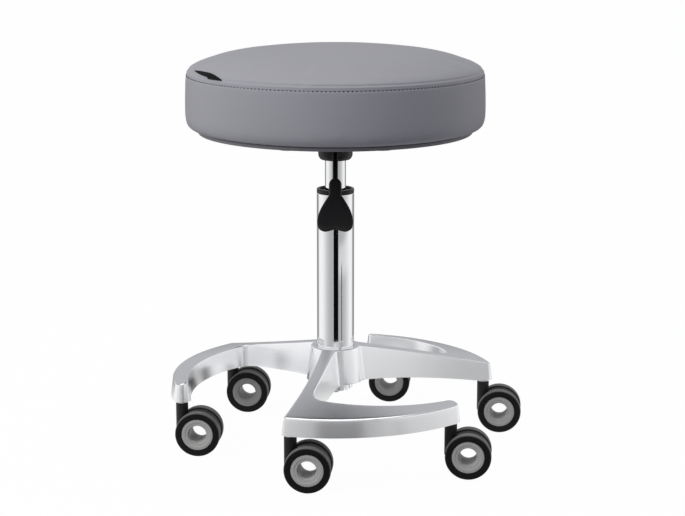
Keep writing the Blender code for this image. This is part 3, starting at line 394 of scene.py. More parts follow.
def fit(piece, body, finish, slot, *nodes):
    """Gives a piece its material and puts it on its body, in place of the nodes named."""
    piece.data.materials.clear()
    piece.data.materials.append(finish)
    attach(piece, body)
    if nodes:
        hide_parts(*nodes)
    return piece


SPOKE_POCKET, HOOK_POCKET = (13, 34), (64, 90)  # first and last station of the hollows
POCKET_SLOPE = 2  # stations from a hollow's end to its full depth

stations = ROOT_STEPS + len(arm_edges[0])
section_count = len(arm_section(0, 0.0))
bpy.ops.mesh.primitive_grid_add(x_subdivisions=stations - 1, y_subdivisions=section_count, size=1.0)
arm = bpy.context.object
rolled = {}
for vertex in arm.data.vertices:
    station = round((vertex.co.x + 0.5) * (stations - 1))
    number = round((vertex.co.y + 0.5) * section_count) % section_count
    if station not in rolled:
        inside = [min(station - low, high - station) for low, high in (SPOKE_POCKET, HOOK_POCKET)]
        rolled[station] = arm_section(station, min(max(max(inside) / POCKET_SLOPE, 0.0), 1.0))
    vertex.co = rolled[station][number]
bpy.ops.object.mode_set(mode="EDIT")
bpy.ops.mesh.select_all(action="SELECT")
bpy.ops.mesh.remove_doubles(threshold=0.00001)
select_open_edges()
bpy.ops.mesh.fill_holes(sides=0)
bpy.ops.object.mode_set(mode="OBJECT")
recalculate(arm)

hub_bore = (tube_high.x - tube_low.x) / 2 + HUB_CLEARANCE
hub = turn(
    "hub",
    (
        (hub_bore, hub_bottom),
        (HUB_RADIUS + DRAFT * HUB_HEIGHT, hub_bottom),
        (HUB_RADIUS, hub_top),
        (hub_bore, hub_top),
    ),
    edge=HUB_EDGE,
    ring=True,
)
boss = turn("boss", ((BOSS_RADIUS, ARM_FOOT - BOSS_LIP), (BOSS_RADIUS, BOSS_TOP)), sides=48)
blanks = [hub]
for number in range(3):
    turned_by = arm_angle + math.radians(120.0) * number
    blanks.append(twin(arm, "arm", Matrix.Rotation(turned_by, 4, "Z")))
    for angle in (turned_by, turned_by + HOOK_SWEEP):
        blanks.append(twin(boss, "boss", Matrix.Translation(polar(stem_circle, angle).to_3d())))
bpy.data.objects.remove(arm, do_unlink=True)
bpy.data.objects.remove(boss, do_unlink=True)
casting = join(blanks)
casting.name = casting.data.name = "polished_base"
smooth(casting, 50.0)
apply_modifier(casting, "WEIGHTED_NORMAL", mode="FACE_AREA", weight=100, keep_sharp=True)

aluminium, place = new_finish("polished_aluminium")
haze = place.noise(22.0, 3.0)
strokes = place.stretched((60.0, 60.0, 700.0)).noise(1.0, 2.0)
set_surface(
    aluminium,
    {
        "Base Color": haze.mix((0.89, 0.895, 0.905, 1), (0.92, 0.925, 0.935, 1)),
        "Metallic": 1.0,
        "Roughness": 0.20 + haze * 0.04 + strokes * 0.03,
        "Normal": strokes.bump(0.01, 0.0001),
    },
)
fit(casting, "base", aluminium, "polished_aluminium", "base_casting")


# Casters: six alike. A steel stem is pressed into the arm and turns in the moulded body, whose
# hollow axle carries two wheels. Each wheel is a grey rim in a black tyre that stands clear of it.

AXLE_HEIGHT, TRAIL = 0.030, 0.023
HEADING = math.radians(-5.0)
BODY_RADIUS, BODY_HALF, BODY_FOOT = 0.028, 0.0080, 0.0070
AXLE_RADIUS, AXLE_BORE, AXLE_HALF = 0.0150, 0.0117, 0.0181
HOUSING_RADIUS, HOUSING_BOTTOM, HOUSING_TOP = 0.0082, 0.0272, 0.0687
WHEEL_NEAR, WHEEL_FAR = 0.0084, 0.0209
TYRE_SEAT, TYRE_SHOULDER, TREAD_CROWN = 0.0213, 0.0022, 0.0002
RIM_RADIUS, RIM_FACE, RIM_OPENING, RIM_LIP, RIM_BORE = 0.0210, 0.0204, 0.0128, 0.0020, 0.0153
RIM_STEP, RIM_STEP_DEPTH = 0.0165, 0.0006
STEM_RADIUS, FLANGE_RADIUS = 0.0050, 0.0075
FLANGE_BOTTOM, FLANGE_TOP = 0.0690, 0.0708
CASTER_VOXEL = 0.0008
TREAD_FADE, TREAD_START = 1.6, 0.5  # how the grey tread, lighter partly as painted light from above, fades into the tyre's black sides


def over(low, high):
    """The move from the column's axis to the middle of a box, level with the floor."""
    return Matrix.Translation(((low.x + high.x) / 2, (low.y + high.y) / 2, 0))


upright = Matrix.Rotation(math.radians(-90.0), 4, "X")
on_axle = Matrix.Translation((TRAIL, 0, AXLE_HEIGHT)) @ upright
body_disc = turn(
    "body_disc",
    (
        (AXLE_BORE, -AXLE_HALF),
        (AXLE_RADIUS, -AXLE_HALF),
        (AXLE_RADIUS, -BODY_HALF),
        (BODY_RADIUS, -BODY_HALF),
        (BODY_RADIUS, BODY_HALF),
        (AXLE_RADIUS, BODY_HALF),
        (AXLE_RADIUS, AXLE_HALF),
        (AXLE_BORE, AXLE_HALF),
    ),
    edge=0.0010,
    ring=True,
)
put(body_disc, on_axle)
bpy.context.view_layer.objects.active = body_disc
bpy.ops.object.mode_set(mode="EDIT")
bpy.ops.mesh.select_all(action="SELECT")
bpy.ops.mesh.bisect(
    plane_co=(0, 0, BODY_FOOT), plane_no=(0, 0, -1), use_fill=True, clear_outer=True
)
bpy.ops.object.mode_set(mode="OBJECT")
housing = turn(
    "housing",
    (
        (HOUSING_RADIUS * 0.5, HOUSING_BOTTOM),
        (HOUSING_RADIUS, HOUSING_BOTTOM),
        (HOUSING_RADIUS, HOUSING_TOP),
        (HOUSING_RADIUS * 0.5, HOUSING_TOP),
    ),
    edge=0.0012,
    sides=64,
)
caster_body = join([body_disc, housing])
apply_modifier(caster_body, "REMESH", mode="VOXEL", voxel_size=CASTER_VOXEL)
apply_modifier(caster_body, "SMOOTH", factor=0.5, iterations=3)
smooth(caster_body, 180.0)

tyre = turn(
    "tyre",
    (
        (TYRE_SEAT, WHEEL_NEAR),
        (AXLE_HEIGHT - TREAD_CROWN, WHEEL_NEAR),
        (AXLE_HEIGHT, (WHEEL_NEAR + WHEEL_FAR) / 2),
        (AXLE_HEIGHT - TREAD_CROWN, WHEEL_FAR),
        (TYRE_SEAT, WHEEL_FAR),
    ),
    edge=TYRE_SHOULDER,
    ring=True,
)
smooth(tyre)
# Each point's share of the lighter tread colour, which is partly painted light from above.
tread_share = tyre.data.attributes.new("tread", "FLOAT", "POINT")
for vertex, share in zip(tyre.data.vertices, tread_share.data):
    reach = (vertex.co.xy.length - AXLE_HEIGHT + TYRE_SHOULDER) / TYRE_SHOULDER
    share.value = min(max(reach * TREAD_FADE - TREAD_START, 0.0), 1.0)
rim = turn(
    "rim",
    (
        (RIM_BORE, WHEEL_NEAR),
        (RIM_RADIUS, WHEEL_NEAR),
        (RIM_RADIUS, RIM_FACE),
        (RIM_STEP, RIM_FACE),
        (RIM_STEP - RIM_STEP_DEPTH, RIM_FACE - RIM_STEP_DEPTH),
        (RIM_OPENING, RIM_FACE - RIM_STEP_DEPTH),
        (RIM_OPENING, RIM_FACE - RIM_LIP),
        (RIM_BORE, RIM_FACE - RIM_LIP),
    ),
    edge=0.0005,
    ring=True,
)
smooth(rim)
stem = turn(
    "stem",
    (
        (STEM_RADIUS, stem_low.z),
        (STEM_RADIUS, FLANGE_BOTTOM),
        (FLANGE_RADIUS, FLANGE_BOTTOM),
        (FLANGE_RADIUS, FLANGE_TOP),
        (STEM_RADIUS, FLANGE_TOP),
        (STEM_RADIUS, stem_high.z),
    ),
    edge=0.0004,
    sides=48,
)
smooth(stem)

moulded, place = new_finish("black_plastic")
grain = place.noise(2600.0, 2.0)
wear = place.noise(70.0, 3.0)
set_surface(
    moulded,
    {
        "Base Color": wear.mix((0.007, 0.007, 0.0075, 1), (0.013, 0.013, 0.0135, 1)),
        "Roughness": 0.40 + wear * 0.12,
        "Specular IOR Level": 0.3,
        "Normal": grain.bump(0.25, 0.0001),
    },
)
grey_plastic, place = new_finish("grey_plastic")
grain = place.noise(2200.0, 2.0)
wear = place.noise(90.0, 3.0)
set_surface(
    grey_plastic,
    {
        "Base Color": wear.mix((0.405, 0.40, 0.375, 1), (0.455, 0.45, 0.425, 1)),
        "Roughness": 0.42 + wear * 0.10,
        "Normal": grain.bump(0.2, 0.0001),
    },
)
tread_rubber, place = new_finish("tyre")
grain = place.noise(1500.0, 3.0)
wear = place.noise(60.0, 3.0)
tread = place.node("ShaderNodeAttribute", {"attribute_name": "tread"}, None, "Fac")
# The tread is painted lighter than the black sides, partly the rubber's own grey and partly painted
# light falling on the wheel's top.
side_black = wear.mix((0.004, 0.004, 0.0042, 1), (0.008, 0.008, 0.0083, 1))
tread_grey_and_painted_light = wear.mix((0.13, 0.13, 0.122, 1), (0.18, 0.18, 0.168, 1))
set_surface(
    tread_rubber,
    {
        "Base Color": tread.mix(side_black, tread_grey_and_painted_light),
        "Roughness": 0.46 + wear * 0.12,
        "Specular IOR Level": 0.15,
        "Normal": grain.bump(0.25, 0.0001),
    },
)
steel, place = new_finish("steel")
haze = place.noise(120.0, 3.0)
set_surface(
    steel,
    {
        "Base Color": haze.mix((0.52, 0.52, 0.54, 1), (0.62, 0.62, 0.64, 1)),
        "Metallic": 1.0,
        "Roughness": 0.24 + haze * 0.12,
        "Normal": haze.bump(0.1, 0.0002),
    },
)

for number in range(1, 7):
    name = f"caster_{number}"
    foot = over(*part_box(f"{name}_stem"))
    facing = foot @ Matrix.Rotation(HEADING, 4, "Z")
    fit(twin(stem, f"{name}_pin", foot), "base", steel, "steel", f"{name}_stem")
    moulding = twin(caster_body, f"{name}_moulding", facing)
    fit(moulding, name, moulded, "black_plastic", f"{name}_body")
    moulding.data.materials.append(grey_plastic)
    for face, source in zip(moulding.data.polygons, caster_body.data.polygons):
        reach = math.hypot(source.center.x - TRAIL, source.center.z - AXLE_HEIGHT)
        axle = AXLE_RADIUS if abs(source.center.y) > BODY_HALF else AXLE_BORE
        if reach < axle + CASTER_VOXEL:
            face.material_index = 1
    for side, half_turn in (("front", math.pi), ("rear", 0.0)):
        spot = facing @ Matrix.Translation((TRAIL, 0, AXLE_HEIGHT))
        spot = spot @ Matrix.Rotation(half_turn, 4, "Z") @ upright
        wheel = f"{name}_wheel_{side}"
        hoop = twin(tyre, f"{name}_tread_{side}", spot)
        fit(hoop, wheel, tread_rubber, "tyre", f"{name}_tyre_{side}")
        disc = twin(rim, f"{name}_disc_{side}", spot)
        fit(disc, wheel, grey_plastic, "grey_plastic", f"{name}_rim_{side}")
for pattern in (caster_body, tyre, rim, stem):
    bpy.data.objects.remove(pattern, do_unlink=True)


# Lift column: a chromed steel tube, drawn in below the hub's top so that it wedges in the hub. Its
# lower end is slotted and rolled in over the floor plate. A moulded bush closes its top and guides
# the chromed gas cylinder. The bearing, rod, bumper and clip inside stay as the part has them.

TUBE_RADIUS, TUBE_WALL, TUBE_TIP_RADIUS = 0.025, 0.0015, 0.0226
TIP_LIFT, TIP_THICKNESS, TIP_LIP_RADIUS = 0.0003, 0.003, 0.017
SLOT_COUNT, SLOT_LENGTH, SLOT_WIDTH, SLOT_HEIGHT, SLOT_DROP = 16, 0.08, 0.0024, 0.0052, 0.0004


def block(size, spot):
    """A box of a given size, put in its place."""
    bpy.ops.mesh.primitive_cube_add(size=1.0)
    return put(bpy.context.object, spot @ Matrix.Diagonal((*size, 1)))


def cut(piece, tool):
    """Takes one piece away from another and throws the tool away."""
    apply_modifier(piece, "BOOLEAN", operation="DIFFERENCE", solver="EXACT", object=tool)
    bpy.data.objects.remove(tool, do_unlink=True)


def refinish(finish, *nodes):
    """Gives a material to nodes of the part that are shown as they are."""
    for name in nodes:
        materials = frame["nodes"][name].data.materials
        materials.clear()
        materials.append(finish)


tube = turn(
    "chrome_tube",
    (
        (TIP_LIP_RADIUS, tube_low.z + TIP_LIFT),
        (TUBE_TIP_RADIUS, tube_low.z + TIP_LIFT),
        (TUBE_RADIUS, hub_top),
        (TUBE_RADIUS, tube_high.z),
        (TUBE_RADIUS - TUBE_WALL, tube_high.z),
        (TUBE_RADIUS - TUBE_WALL, hub_top),
        (TIP_LIP_RADIUS, tube_low.z + TIP_THICKNESS),
    ),
    edge=0.0012,
    sides=128,
    ring=True,
)
for number in range(SLOT_COUNT // 2):
    turned_by = math.pi * (number + 0.5) / (SLOT_COUNT // 2)
    lift = Matrix.Translation((0, 0, tube_low.z + SLOT_HEIGHT / 2 - SLOT_DROP))
    slot_size = (SLOT_LENGTH, SLOT_WIDTH, SLOT_HEIGHT)
    cut(tube, block(slot_size, lift @ Matrix.Rotation(turned_by, 4, "Z")))
smooth(tube, 30.0)

chrome, place = new_finish("chrome")
haze = place.noise(30.0, 3.0)
set_surface(
    chrome,
    {
        "Base Color": haze.mix((0.86, 0.87, 0.88, 1), (0.90, 0.90, 0.91, 1)),
        "Metallic": 1.0,
        "Roughness": 0.03 + haze * 0.04,
        "Normal": place.noise(400.0).bump(0.02, 0.0001),
    },
)
fit(tube, "base", chrome, "chrome", "column_tube")

bush_low, bush_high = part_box("guide_bush")
RIM_HEIGHT, RIM_WIDTH, BUSH_DISH, BUSH_SLIDE = 0.0055, 0.0035, 0.0025, 0.0143
BUSH_CLEARANCE = 0.0003
bush_radius = TUBE_RADIUS - TUBE_WALL - BUSH_CLEARANCE
bush = turn(
    "bush",
    (
        (BUSH_SLIDE, bush_low.z),
        (bush_radius, bush_low.z),
        (bush_radius, bush_high.z - RIM_HEIGHT),
        (TUBE_RADIUS, bush_high.z - RIM_HEIGHT),
        (TUBE_RADIUS, bush_high.z),
        (TUBE_RADIUS - RIM_WIDTH, bush_high.z),
        (TUBE_RADIUS - RIM_WIDTH, bush_high.z - BUSH_DISH),
        (BUSH_SLIDE, bush_high.z - BUSH_DISH),
    ),
    edge=0.0009,
    ring=True,
)
smooth(bush)
gloss_black, place = new_finish("gloss_black")
flow = place.noise(60.0, 3.0)
set_surface(
    gloss_black,
    {
        "Base Color": flow.mix((0.005, 0.005, 0.0055, 1), (0.010, 0.010, 0.0105, 1)),
        "Roughness": 0.16 + flow * 0.08,
        "Specular IOR Level": 0.25,
        "Normal": place.noise(500.0).bump(0.08, 0.0002),
    },
)
fit(bush, "base", gloss_black, "black_plastic", "guide_bush")

cylinder_low, cylinder_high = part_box("gas_cylinder")
CYLINDER_RADIUS = 0.014
cylinder = turn(
    "cylinder",
    (
        (CYLINDER_RADIUS * 0.5, cylinder_low.z),
        (CYLINDER_RADIUS, cylinder_low.z),
        (CYLINDER_RADIUS, cylinder_high.z),
        (CYLINDER_RADIUS * 0.5, cylinder_high.z),
    ),
    edge=0.0010,
)
smooth(cylinder)
fit(cylinder, "seat", chrome, "chrome", "gas_cylinder")

inner_rubber, place = new_finish("rubber")
grain = place.noise(900.0, 3.0)
set_surface(
    inner_rubber,
    {
        "Base Color": grain.mix((0.010, 0.010, 0.010, 1), (0.022, 0.022, 0.022, 1)),
        "Roughness": 0.62 + grain * 0.15,
        "Normal": grain.bump(0.2, 0.0002),
    },
)
refinish(
    steel, "thrust_bearing", "bearing_washer", "piston_rod", "retaining_clip", "valve_button"
)
refinish(inner_rubber, "rubber_bumper")


# Seat mount: a pressed plate with a socket welded under it, powder-coated black, inside a moulded
# cover. Four screws hold the plate to the seat board.

mount_low, mount_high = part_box("seat_mount")
cover_low, cover_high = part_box("socket_cover")
PLATE_THICKNESS, PLATE_CORNER = 0.003, 0.015
SOCKET_RADIUS, SOCKET_BORE, WELD = 0.019, 0.0143, 0.0005
COVER_ROUND, COVER_TAPER, COVER_DISH = 0.0055, 0.0030, 0.0006
COVER_FLOOR, COVER_CLEARANCE = 0.002, 0.0003
LEVER_SLOT_WIDTH, LEVER_SLOT_REACH, LEVER_SLOT_BOTTOM = 0.0086, 0.040, 0.4124

plate_width = mount_high.x - mount_low.x
plate_size = (plate_width, plate_width, PLATE_THICKNESS)
mount = block(plate_size, Matrix.Translation((0, 0, mount_high.z - PLATE_THICKNESS / 2)))
mount.name = mount.data.name = "mount_plate"
bpy.ops.object.mode_set(mode="EDIT")
bpy.ops.mesh.select_all(action="DESELECT")
bpy.ops.object.mode_set(mode="OBJECT")
for edge in mount.data.edges:
    first, last = (mount.data.vertices[index].co for index in edge.vertices)
    edge.select = abs(first.z - last.z) > PLATE_THICKNESS / 2
bpy.ops.object.mode_set(mode="EDIT")
bpy.ops.mesh.bevel(offset=PLATE_CORNER, segments=8)
bpy.ops.object.mode_set(mode="OBJECT")
apply_modifier(mount, "BEVEL", width=0.0006, segments=2, limit_method="ANGLE")
slot_top = mount_high.z - PLATE_THICKNESS
socket = turn(
    "socket",
    (
        (SOCKET_BORE, mount_low.z),
        (SOCKET_RADIUS, mount_low.z),
        (SOCKET_RADIUS, slot_top + WELD),
        (SOCKET_BORE, slot_top + WELD),
    ),
    edge=0.0006,
    ring=True,
)
cover = turn(
    "cover",
    (
        (SOCKET_BORE, cover_low.z),
        (cover_high.x - COVER_TAPER, cover_low.z + COVER_DISH),
        (cover_high.x, cover_low.z + COVER_ROUND),
        (cover_high.x, cover_high.z),
        (SOCKET_RADIUS + COVER_CLEARANCE, cover_high.z),
        (SOCKET_RADIUS + COVER_CLEARANCE, cover_low.z + COVER_FLOOR),
        (SOCKET_BORE, cover_low.z + COVER_FLOOR),
    ),
    edge=COVER_ROUND,
    steps=8,
    ring=True,
)
slot_size = (LEVER_SLOT_WIDTH, LEVER_SLOT_REACH, slot_top - LEVER_SLOT_BOTTOM)
slot_middle = (0, -LEVER_SLOT_REACH / 2, (slot_top + LEVER_SLOT_BOTTOM) / 2)
for piece in (socket, cover):
    cut(piece, block(slot_size, Matrix.Translation(slot_middle)))
    smooth(piece)
smooth(mount)
mount = join([mount, socket])

coated, place = new_finish("black_steel")
peel = place.noise(700.0, 2.0)
set_surface(
    coated,
    {
        "Base Color": peel.mix((0.006, 0.006, 0.006, 1), (0.012, 0.012, 0.012, 1)),
        "Roughness": 0.36 + peel * 0.10,
        "Specular IOR Level": 0.2,
        "Normal": peel.bump(0.15, 0.0002),
    },
)
fit(mount, "seat", coated, "black_steel", "seat_mount")
fit(cover, "seat", gloss_black, "black_plastic", "socket_cover")

screw_low, screw_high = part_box("seat_screw_1")
HEAD_RADIUS, HEAD_HEIGHT, HEAD_FLAT, HEAD_CROWN = 0.0055, 0.0035, 0.0044, 0.0004
SCREW_RADIUS, SCREW_FLAT = 0.0026, 0.00104
RECESS_LENGTH, RECESS_WIDTH, RECESS_DEPTH = 0.0066, 0.0012, 0.0016
screw = turn(
    "screw",
    (
        (SCREW_FLAT, screw_low.z),
        (HEAD_FLAT, screw_low.z + HEAD_CROWN),
        (HEAD_RADIUS, screw_low.z + HEAD_HEIGHT),
        (SCREW_RADIUS, screw_low.z + HEAD_HEIGHT),
        (SCREW_RADIUS, screw_high.z),
        (SCREW_FLAT, screw_high.z),
    ),
    edge=0.0010,
    sides=32,
)
for quarter in (0, 1):
    recess_size = (RECESS_LENGTH, RECESS_WIDTH, RECESS_DEPTH * 2)
    turned = Matrix.Rotation(math.pi / 2 * quarter, 4, "Z")
    cut(screw, block(recess_size, Matrix.Translation((0, 0, screw_low.z)) @ turned))
smooth(screw)
for number in range(1, 5):
    driven = twin(screw, f"screw_{number}", over(*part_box(f"seat_screw_{number}")))
    fit(driven, "seat", steel, "steel", f"seat_screw_{number}")
bpy.data.objects.remove(screw, do_unlink=True)
refinish(steel, "lever_pivot_pin")


# Lever: a bent steel rod, powder-coated black, on a pin in the socket's walls, with its inner end
# over the valve button. A moulded paddle with two lobes is pushed onto its outer end.

LEVER_RADIUS = 0.0035
BEND_START, BEND_RADIUS, SLOPE = -0.0245, 0.010, math.radians(55.0)
STRAIGHT, IN_PADDLE, BEND_STEPS = 0.0495, 0.020, 12
lever_joint = next(joint for joint in frame["joints"] if joint["name"] == "lever_tilt")
pivot = Vector(lever_joint["pos_m"])
inner_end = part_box("lever_rod")[1].y

line = [Vector((0, inner_end, pivot.z)), Vector((0, BEND_START, pivot.z))]
for step in range(1, BEND_STEPS + 1):
    angle = SLOPE * step / BEND_STEPS
    back = BEND_START - BEND_RADIUS * math.sin(angle)
    line.append(Vector((0, back, pivot.z - BEND_RADIUS * (1 - math.cos(angle)))))
down = Vector((0, -math.cos(SLOPE), -math.sin(SLOPE)))
paddle_start = line[-1] + down * STRAIGHT
line.append(paddle_start + down * IN_PADDLE)

bpy.ops.mesh.primitive_circle_add(vertices=32, radius=LEVER_RADIUS, rotation=(math.pi / 2, 0, 0))
lever = bpy.context.object
lever.name = lever.data.name = "lever_bar"
bpy.ops.object.transform_apply(location=True, rotation=True, scale=True)
bpy.ops.object.mode_set(mode="EDIT")
bpy.ops.mesh.select_all(action="SELECT")
bpy.ops.transform.translate(value=line[0])
heading = 0.0
for before, after in zip(line, line[1:]):
    bpy.ops.mesh.extrude_region_move(TRANSFORM_OT_translate={"value": after - before})
    along = after - before
    slope = math.atan2(-along.z, -along.y)
    following = line[line.index(after) + 1] - after if after is not line[-1] else along
    next_slope = math.atan2(-following.z, -following.y)
    middle = (slope + next_slope) / 2
    bpy.ops.transform.rotate(
        value=heading - middle, orient_axis="X", orient_type="GLOBAL", center_override=after
    )
    heading = middle
select_open_edges()
bpy.ops.mesh.fill_holes(sides=0)
bpy.ops.object.mode_set(mode="OBJECT")
recalculate(lever)
smooth(lever)
fit(lever, "lever", coated, "black_steel", "lever_rod")

PADDLE_LENGTH, PADDLE_HALF, NECK_HALF = 0.074, 0.02325, 0.00825
NECK_SHARE, FLARE_SHARE, NOTCH, LOBE = 0.36, 0.60, 0.0038, 0.0107
NECK_THICK, TIP_THICK, THINNING, NOTCH_CURVE, EDGE_CURVE = 0.012, 0.006, 1.25, 1.5, 5
TIP_START, TIP_SHARE = 0.94, 0.06
NECK_LEAST, EDGE_LEAST, TIP_LEAST = 0.1, 0.2, 0.25
PADDLE_VOXEL = 0.0007


def rounded_off(loss, least):
    """From 1 down to least along a round curve, as the loss goes from 0 to 1."""
    return math.sqrt(max(1 - loss, 0.0)) * (1 - least) + least


bpy.ops.mesh.primitive_grid_add(x_subdivisions=72, y_subdivisions=40, size=2.0)
paddle = bpy.context.object
paddle.name = paddle.data.name = "paddle"
apply_modifier(paddle, "SOLIDIFY", thickness=1.0, offset=0.0)
out = Vector((0, -math.sin(SLOPE), math.cos(SLOPE)))
for vertex in paddle.data.vertices:
    share = (vertex.co.x + 1) / 2
    across = vertex.co.y
    lobe_share = max(abs(across) * PADDLE_HALF - (PADDLE_HALF - LOBE), 0.0) / LOBE
    end = PADDLE_LENGTH - LOBE * (1 - math.sqrt(max(1 - lobe_share**2, 0.0)))
    end -= NOTCH * max(1 - abs(across) * PADDLE_HALF / (PADDLE_HALF - LOBE), 0.0) ** NOTCH_CURVE
    spread = min(max((share - NECK_SHARE) / FLARE_SHARE, 0.0), 1.0)
    half = NECK_HALF + (PADDLE_HALF - NECK_HALF) * math.sin(math.pi / 2 * spread)
    neck_round = min(share * PADDLE_LENGTH / NECK_HALF, 1.0)
    half *= rounded_off((1 - neck_round) ** 2, NECK_LEAST)
    thick = NECK_THICK + (TIP_THICK - NECK_THICK) * min(share * THINNING, 1.0)
    edge = rounded_off(abs(across) ** EDGE_CURVE, EDGE_LEAST)
    tip = rounded_off(max(share - TIP_START, 0.0) / TIP_SHARE, TIP_LEAST)
    side = 1 if vertex.co.z > 0 else -1
    spot = paddle_start + down * (share * end) + out * (side * thick / 2 * edge * tip)
    vertex.co = spot + Vector((across * half, 0, 0))
recalculate(paddle)
apply_modifier(paddle, "REMESH", mode="VOXEL", voxel_size=PADDLE_VOXEL)
apply_modifier(paddle, "SMOOTH", factor=0.5, iterations=4)
smooth(paddle, 180.0)
grip, place = new_finish("black_grip")
grain = place.noise(1700.0, 3.0)
wear = place.noise(50.0, 2.0)
set_surface(
    grip,
    {
        "Base Color": wear.mix((0.007, 0.007, 0.0075, 1), (0.012, 0.012, 0.0125, 1)),
        "Roughness": 0.50 + wear * 0.10,
        "Specular IOR Level": 0.3,
        "Normal": grain.bump(0.3, 0.0002),
    },
)
fit(paddle, "lever", grip, "black_plastic", "lever_paddle")


# Seat: a moulded pan and a plywood board under a foam cushion in grey leatherette. The cover is a
# round top panel sewn to a side band, with a row of stitches below the seam and a bare woven tab.

pan_low, pan_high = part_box("seat_pan")
PAN_FLAT = 0.020
pan = turn(
    "pan",
    (
        (PAN_FLAT, pan_low.z),
        (pan_high.x, pan_low.z),
        (pan_high.x, pan_high.z),
        (PAN_FLAT, pan_high.z),
    ),
    edge=0.0015,
    sides=160,
)
smooth(pan)
pan_grey, place = new_finish("grey_pan")
grain = place.noise(1800.0, 2.0)
wear = place.noise(40.0, 3.0)
set_surface(
    pan_grey,
    {
        "Base Color": wear.mix((0.15, 0.15, 0.162, 1), (0.185, 0.185, 0.197, 1)),
        "Roughness": 0.48 + wear * 0.1,
        "Normal": grain.bump(0.2, 0.0001),
    },
)
fit(pan, "seat", pan_grey, "grey_pan", "seat_pan")

plywood, place = new_finish("plywood")
layers = place.stretched((3.0, 3.0, 600.0)).noise(1.0, 3.0)
set_surface(
    plywood,
    {
        "Base Color": layers.mix((0.42, 0.29, 0.16, 1), (0.60, 0.45, 0.28, 1)),
        "Roughness": 0.62 + layers * 0.12,
        "Normal": layers.bump(0.2, 0.0003),
    },
)
refinish(plywood, "seat_board")

cushion_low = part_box("seat_cushion")[0]
SEAT_RADIUS, WIDEST_HEIGHT, FOOT_FLAT = 0.1997, 0.470, 0.0354
SEAM_RADIUS, SEAM_HEIGHT = 0.1968, 0.508
BOTTOM_ROUND, BOTTOM_STEPS, TOP_STEPS, TOP_SPACING = 0.013, 8, 40, 1.6
CROWN_EDGE_RISE, CROWN_EDGE_WIDTH, CROWN_EDGE_CURVE, CROWN_RISE = 0.016, 0.055, 0.68, 0.014
SLACK = 0.0015  # how far the cover stands inside its full shape before the foam fills it
SLACK_EASE = 0.02
FOAM_VOXEL = 0.0055


def crown(radius):
    """Height of the top panel over the seam: a soft roll at its edge, then a slow rise."""
    inward = max(SEAM_RADIUS - radius, 0.0)
    share = min(inward / CROWN_EDGE_WIDTH, 1.0)
    roll = CROWN_EDGE_RISE * (1 - (1 - share) ** 2) ** CROWN_EDGE_CURVE
    return roll + CROWN_RISE * (1 - (min(radius, SEAM_RADIUS) / SEAM_RADIUS) ** 2)


outline = [(FOOT_FLAT, cushion_low.z), (SEAT_RADIUS - SLACK - BOTTOM_ROUND, cushion_low.z)]
for step in range(1, BOTTOM_STEPS + 1):
    angle = math.pi / 2 * step / BOTTOM_STEPS
    outward = SEAT_RADIUS - SLACK - BOTTOM_ROUND * (1 - math.sin(angle))
    outline.append((outward, cushion_low.z + BOTTOM_ROUND * (1 - math.cos(angle))))
outline += [(SEAT_RADIUS - SLACK, WIDEST_HEIGHT), (SEAM_RADIUS, SEAM_HEIGHT)]
for step in range(1, TOP_STEPS + 1):
    radius = SEAM_RADIUS * (1 - (step / (TOP_STEPS + 1)) ** TOP_SPACING)
    slack = SLACK * min((SEAM_RADIUS - radius) / SLACK_EASE, 1)
    outline.append((radius, SEAM_HEIGHT + crown(radius) - slack))
cushion = turn("leatherette_cushion", outline, sides=160)
apply_modifier(cushion, "REMESH", mode="VOXEL", voxel_size=FOAM_VOXEL)

CAP, SEAM_HOLD, FRAMES = 0.0022, 0.004, 20
start = [vertex.co.copy() for vertex in cushion.data.vertices]
held = cushion.vertex_groups.new(name="held")
for vertex in cushion.data.vertices:
    under = vertex.co.z < cushion_low.z + BOTTOM_ROUND
    level_with_seam = abs(vertex.co.z - SEAM_HEIGHT) < FOAM_VOXEL
    if under or (level_with_seam and vertex.co.xy.length > SEAM_RADIUS - SEAM_HOLD):
        held.add([vertex.index], 1.0, "REPLACE")
cloth = cushion.modifiers.new("cloth", "CLOTH")
cloth.settings.quality = 6
cloth.settings.tension_stiffness = 30.0
cloth.settings.compression_stiffness = 30.0
cloth.settings.bending_stiffness = 4.0
cloth.settings.use_pressure = True
cloth.settings.uniform_pressure_force = 4.0
cloth.settings.vertex_group_mass = "held"
cloth.settings.effector_weights.gravity = 0.0
cloth.point_cache.frame_start, cloth.point_cache.frame_end = 1, FRAMES
for number in range(1, FRAMES + 1):
    bpy.context.scene.frame_set(number)
bpy.context.view_layer.objects.active = cushion
bpy.ops.object.modifier_apply(modifier=cloth.name)
bpy.context.scene.frame_set(1)
for vertex, before in zip(cushion.data.vertices, start):
    swell = vertex.co - before
    if swell.length > CAP:
        vertex.co = before + swell * (CAP / swell.length)
apply_modifier(cushion, "SMOOTH", factor=0.5, iterations=6)
apply_modifier(cushion, "SUBSURF", levels=1)

LOOP_SPACING, LOOPS_BELOW, LOOPS_ABOVE, SEAM_ZONE = 0.0006, 16, 8, 0.012
SEAM_LIP, LIP_WIDTH, LIP_DROP = 0.0004, 0.0011, 0.0008
SEAM_GROOVE, GROOVE_WIDTH, GROOVE_RISE = 0.0007, 0.0012, 0.0012
STITCH_DIP, DIP_WIDTH, STITCH_DROP = 0.0006, 0.0009, 0.0053


def bell(distance, width):
    return math.exp(-((distance / width) ** 2))


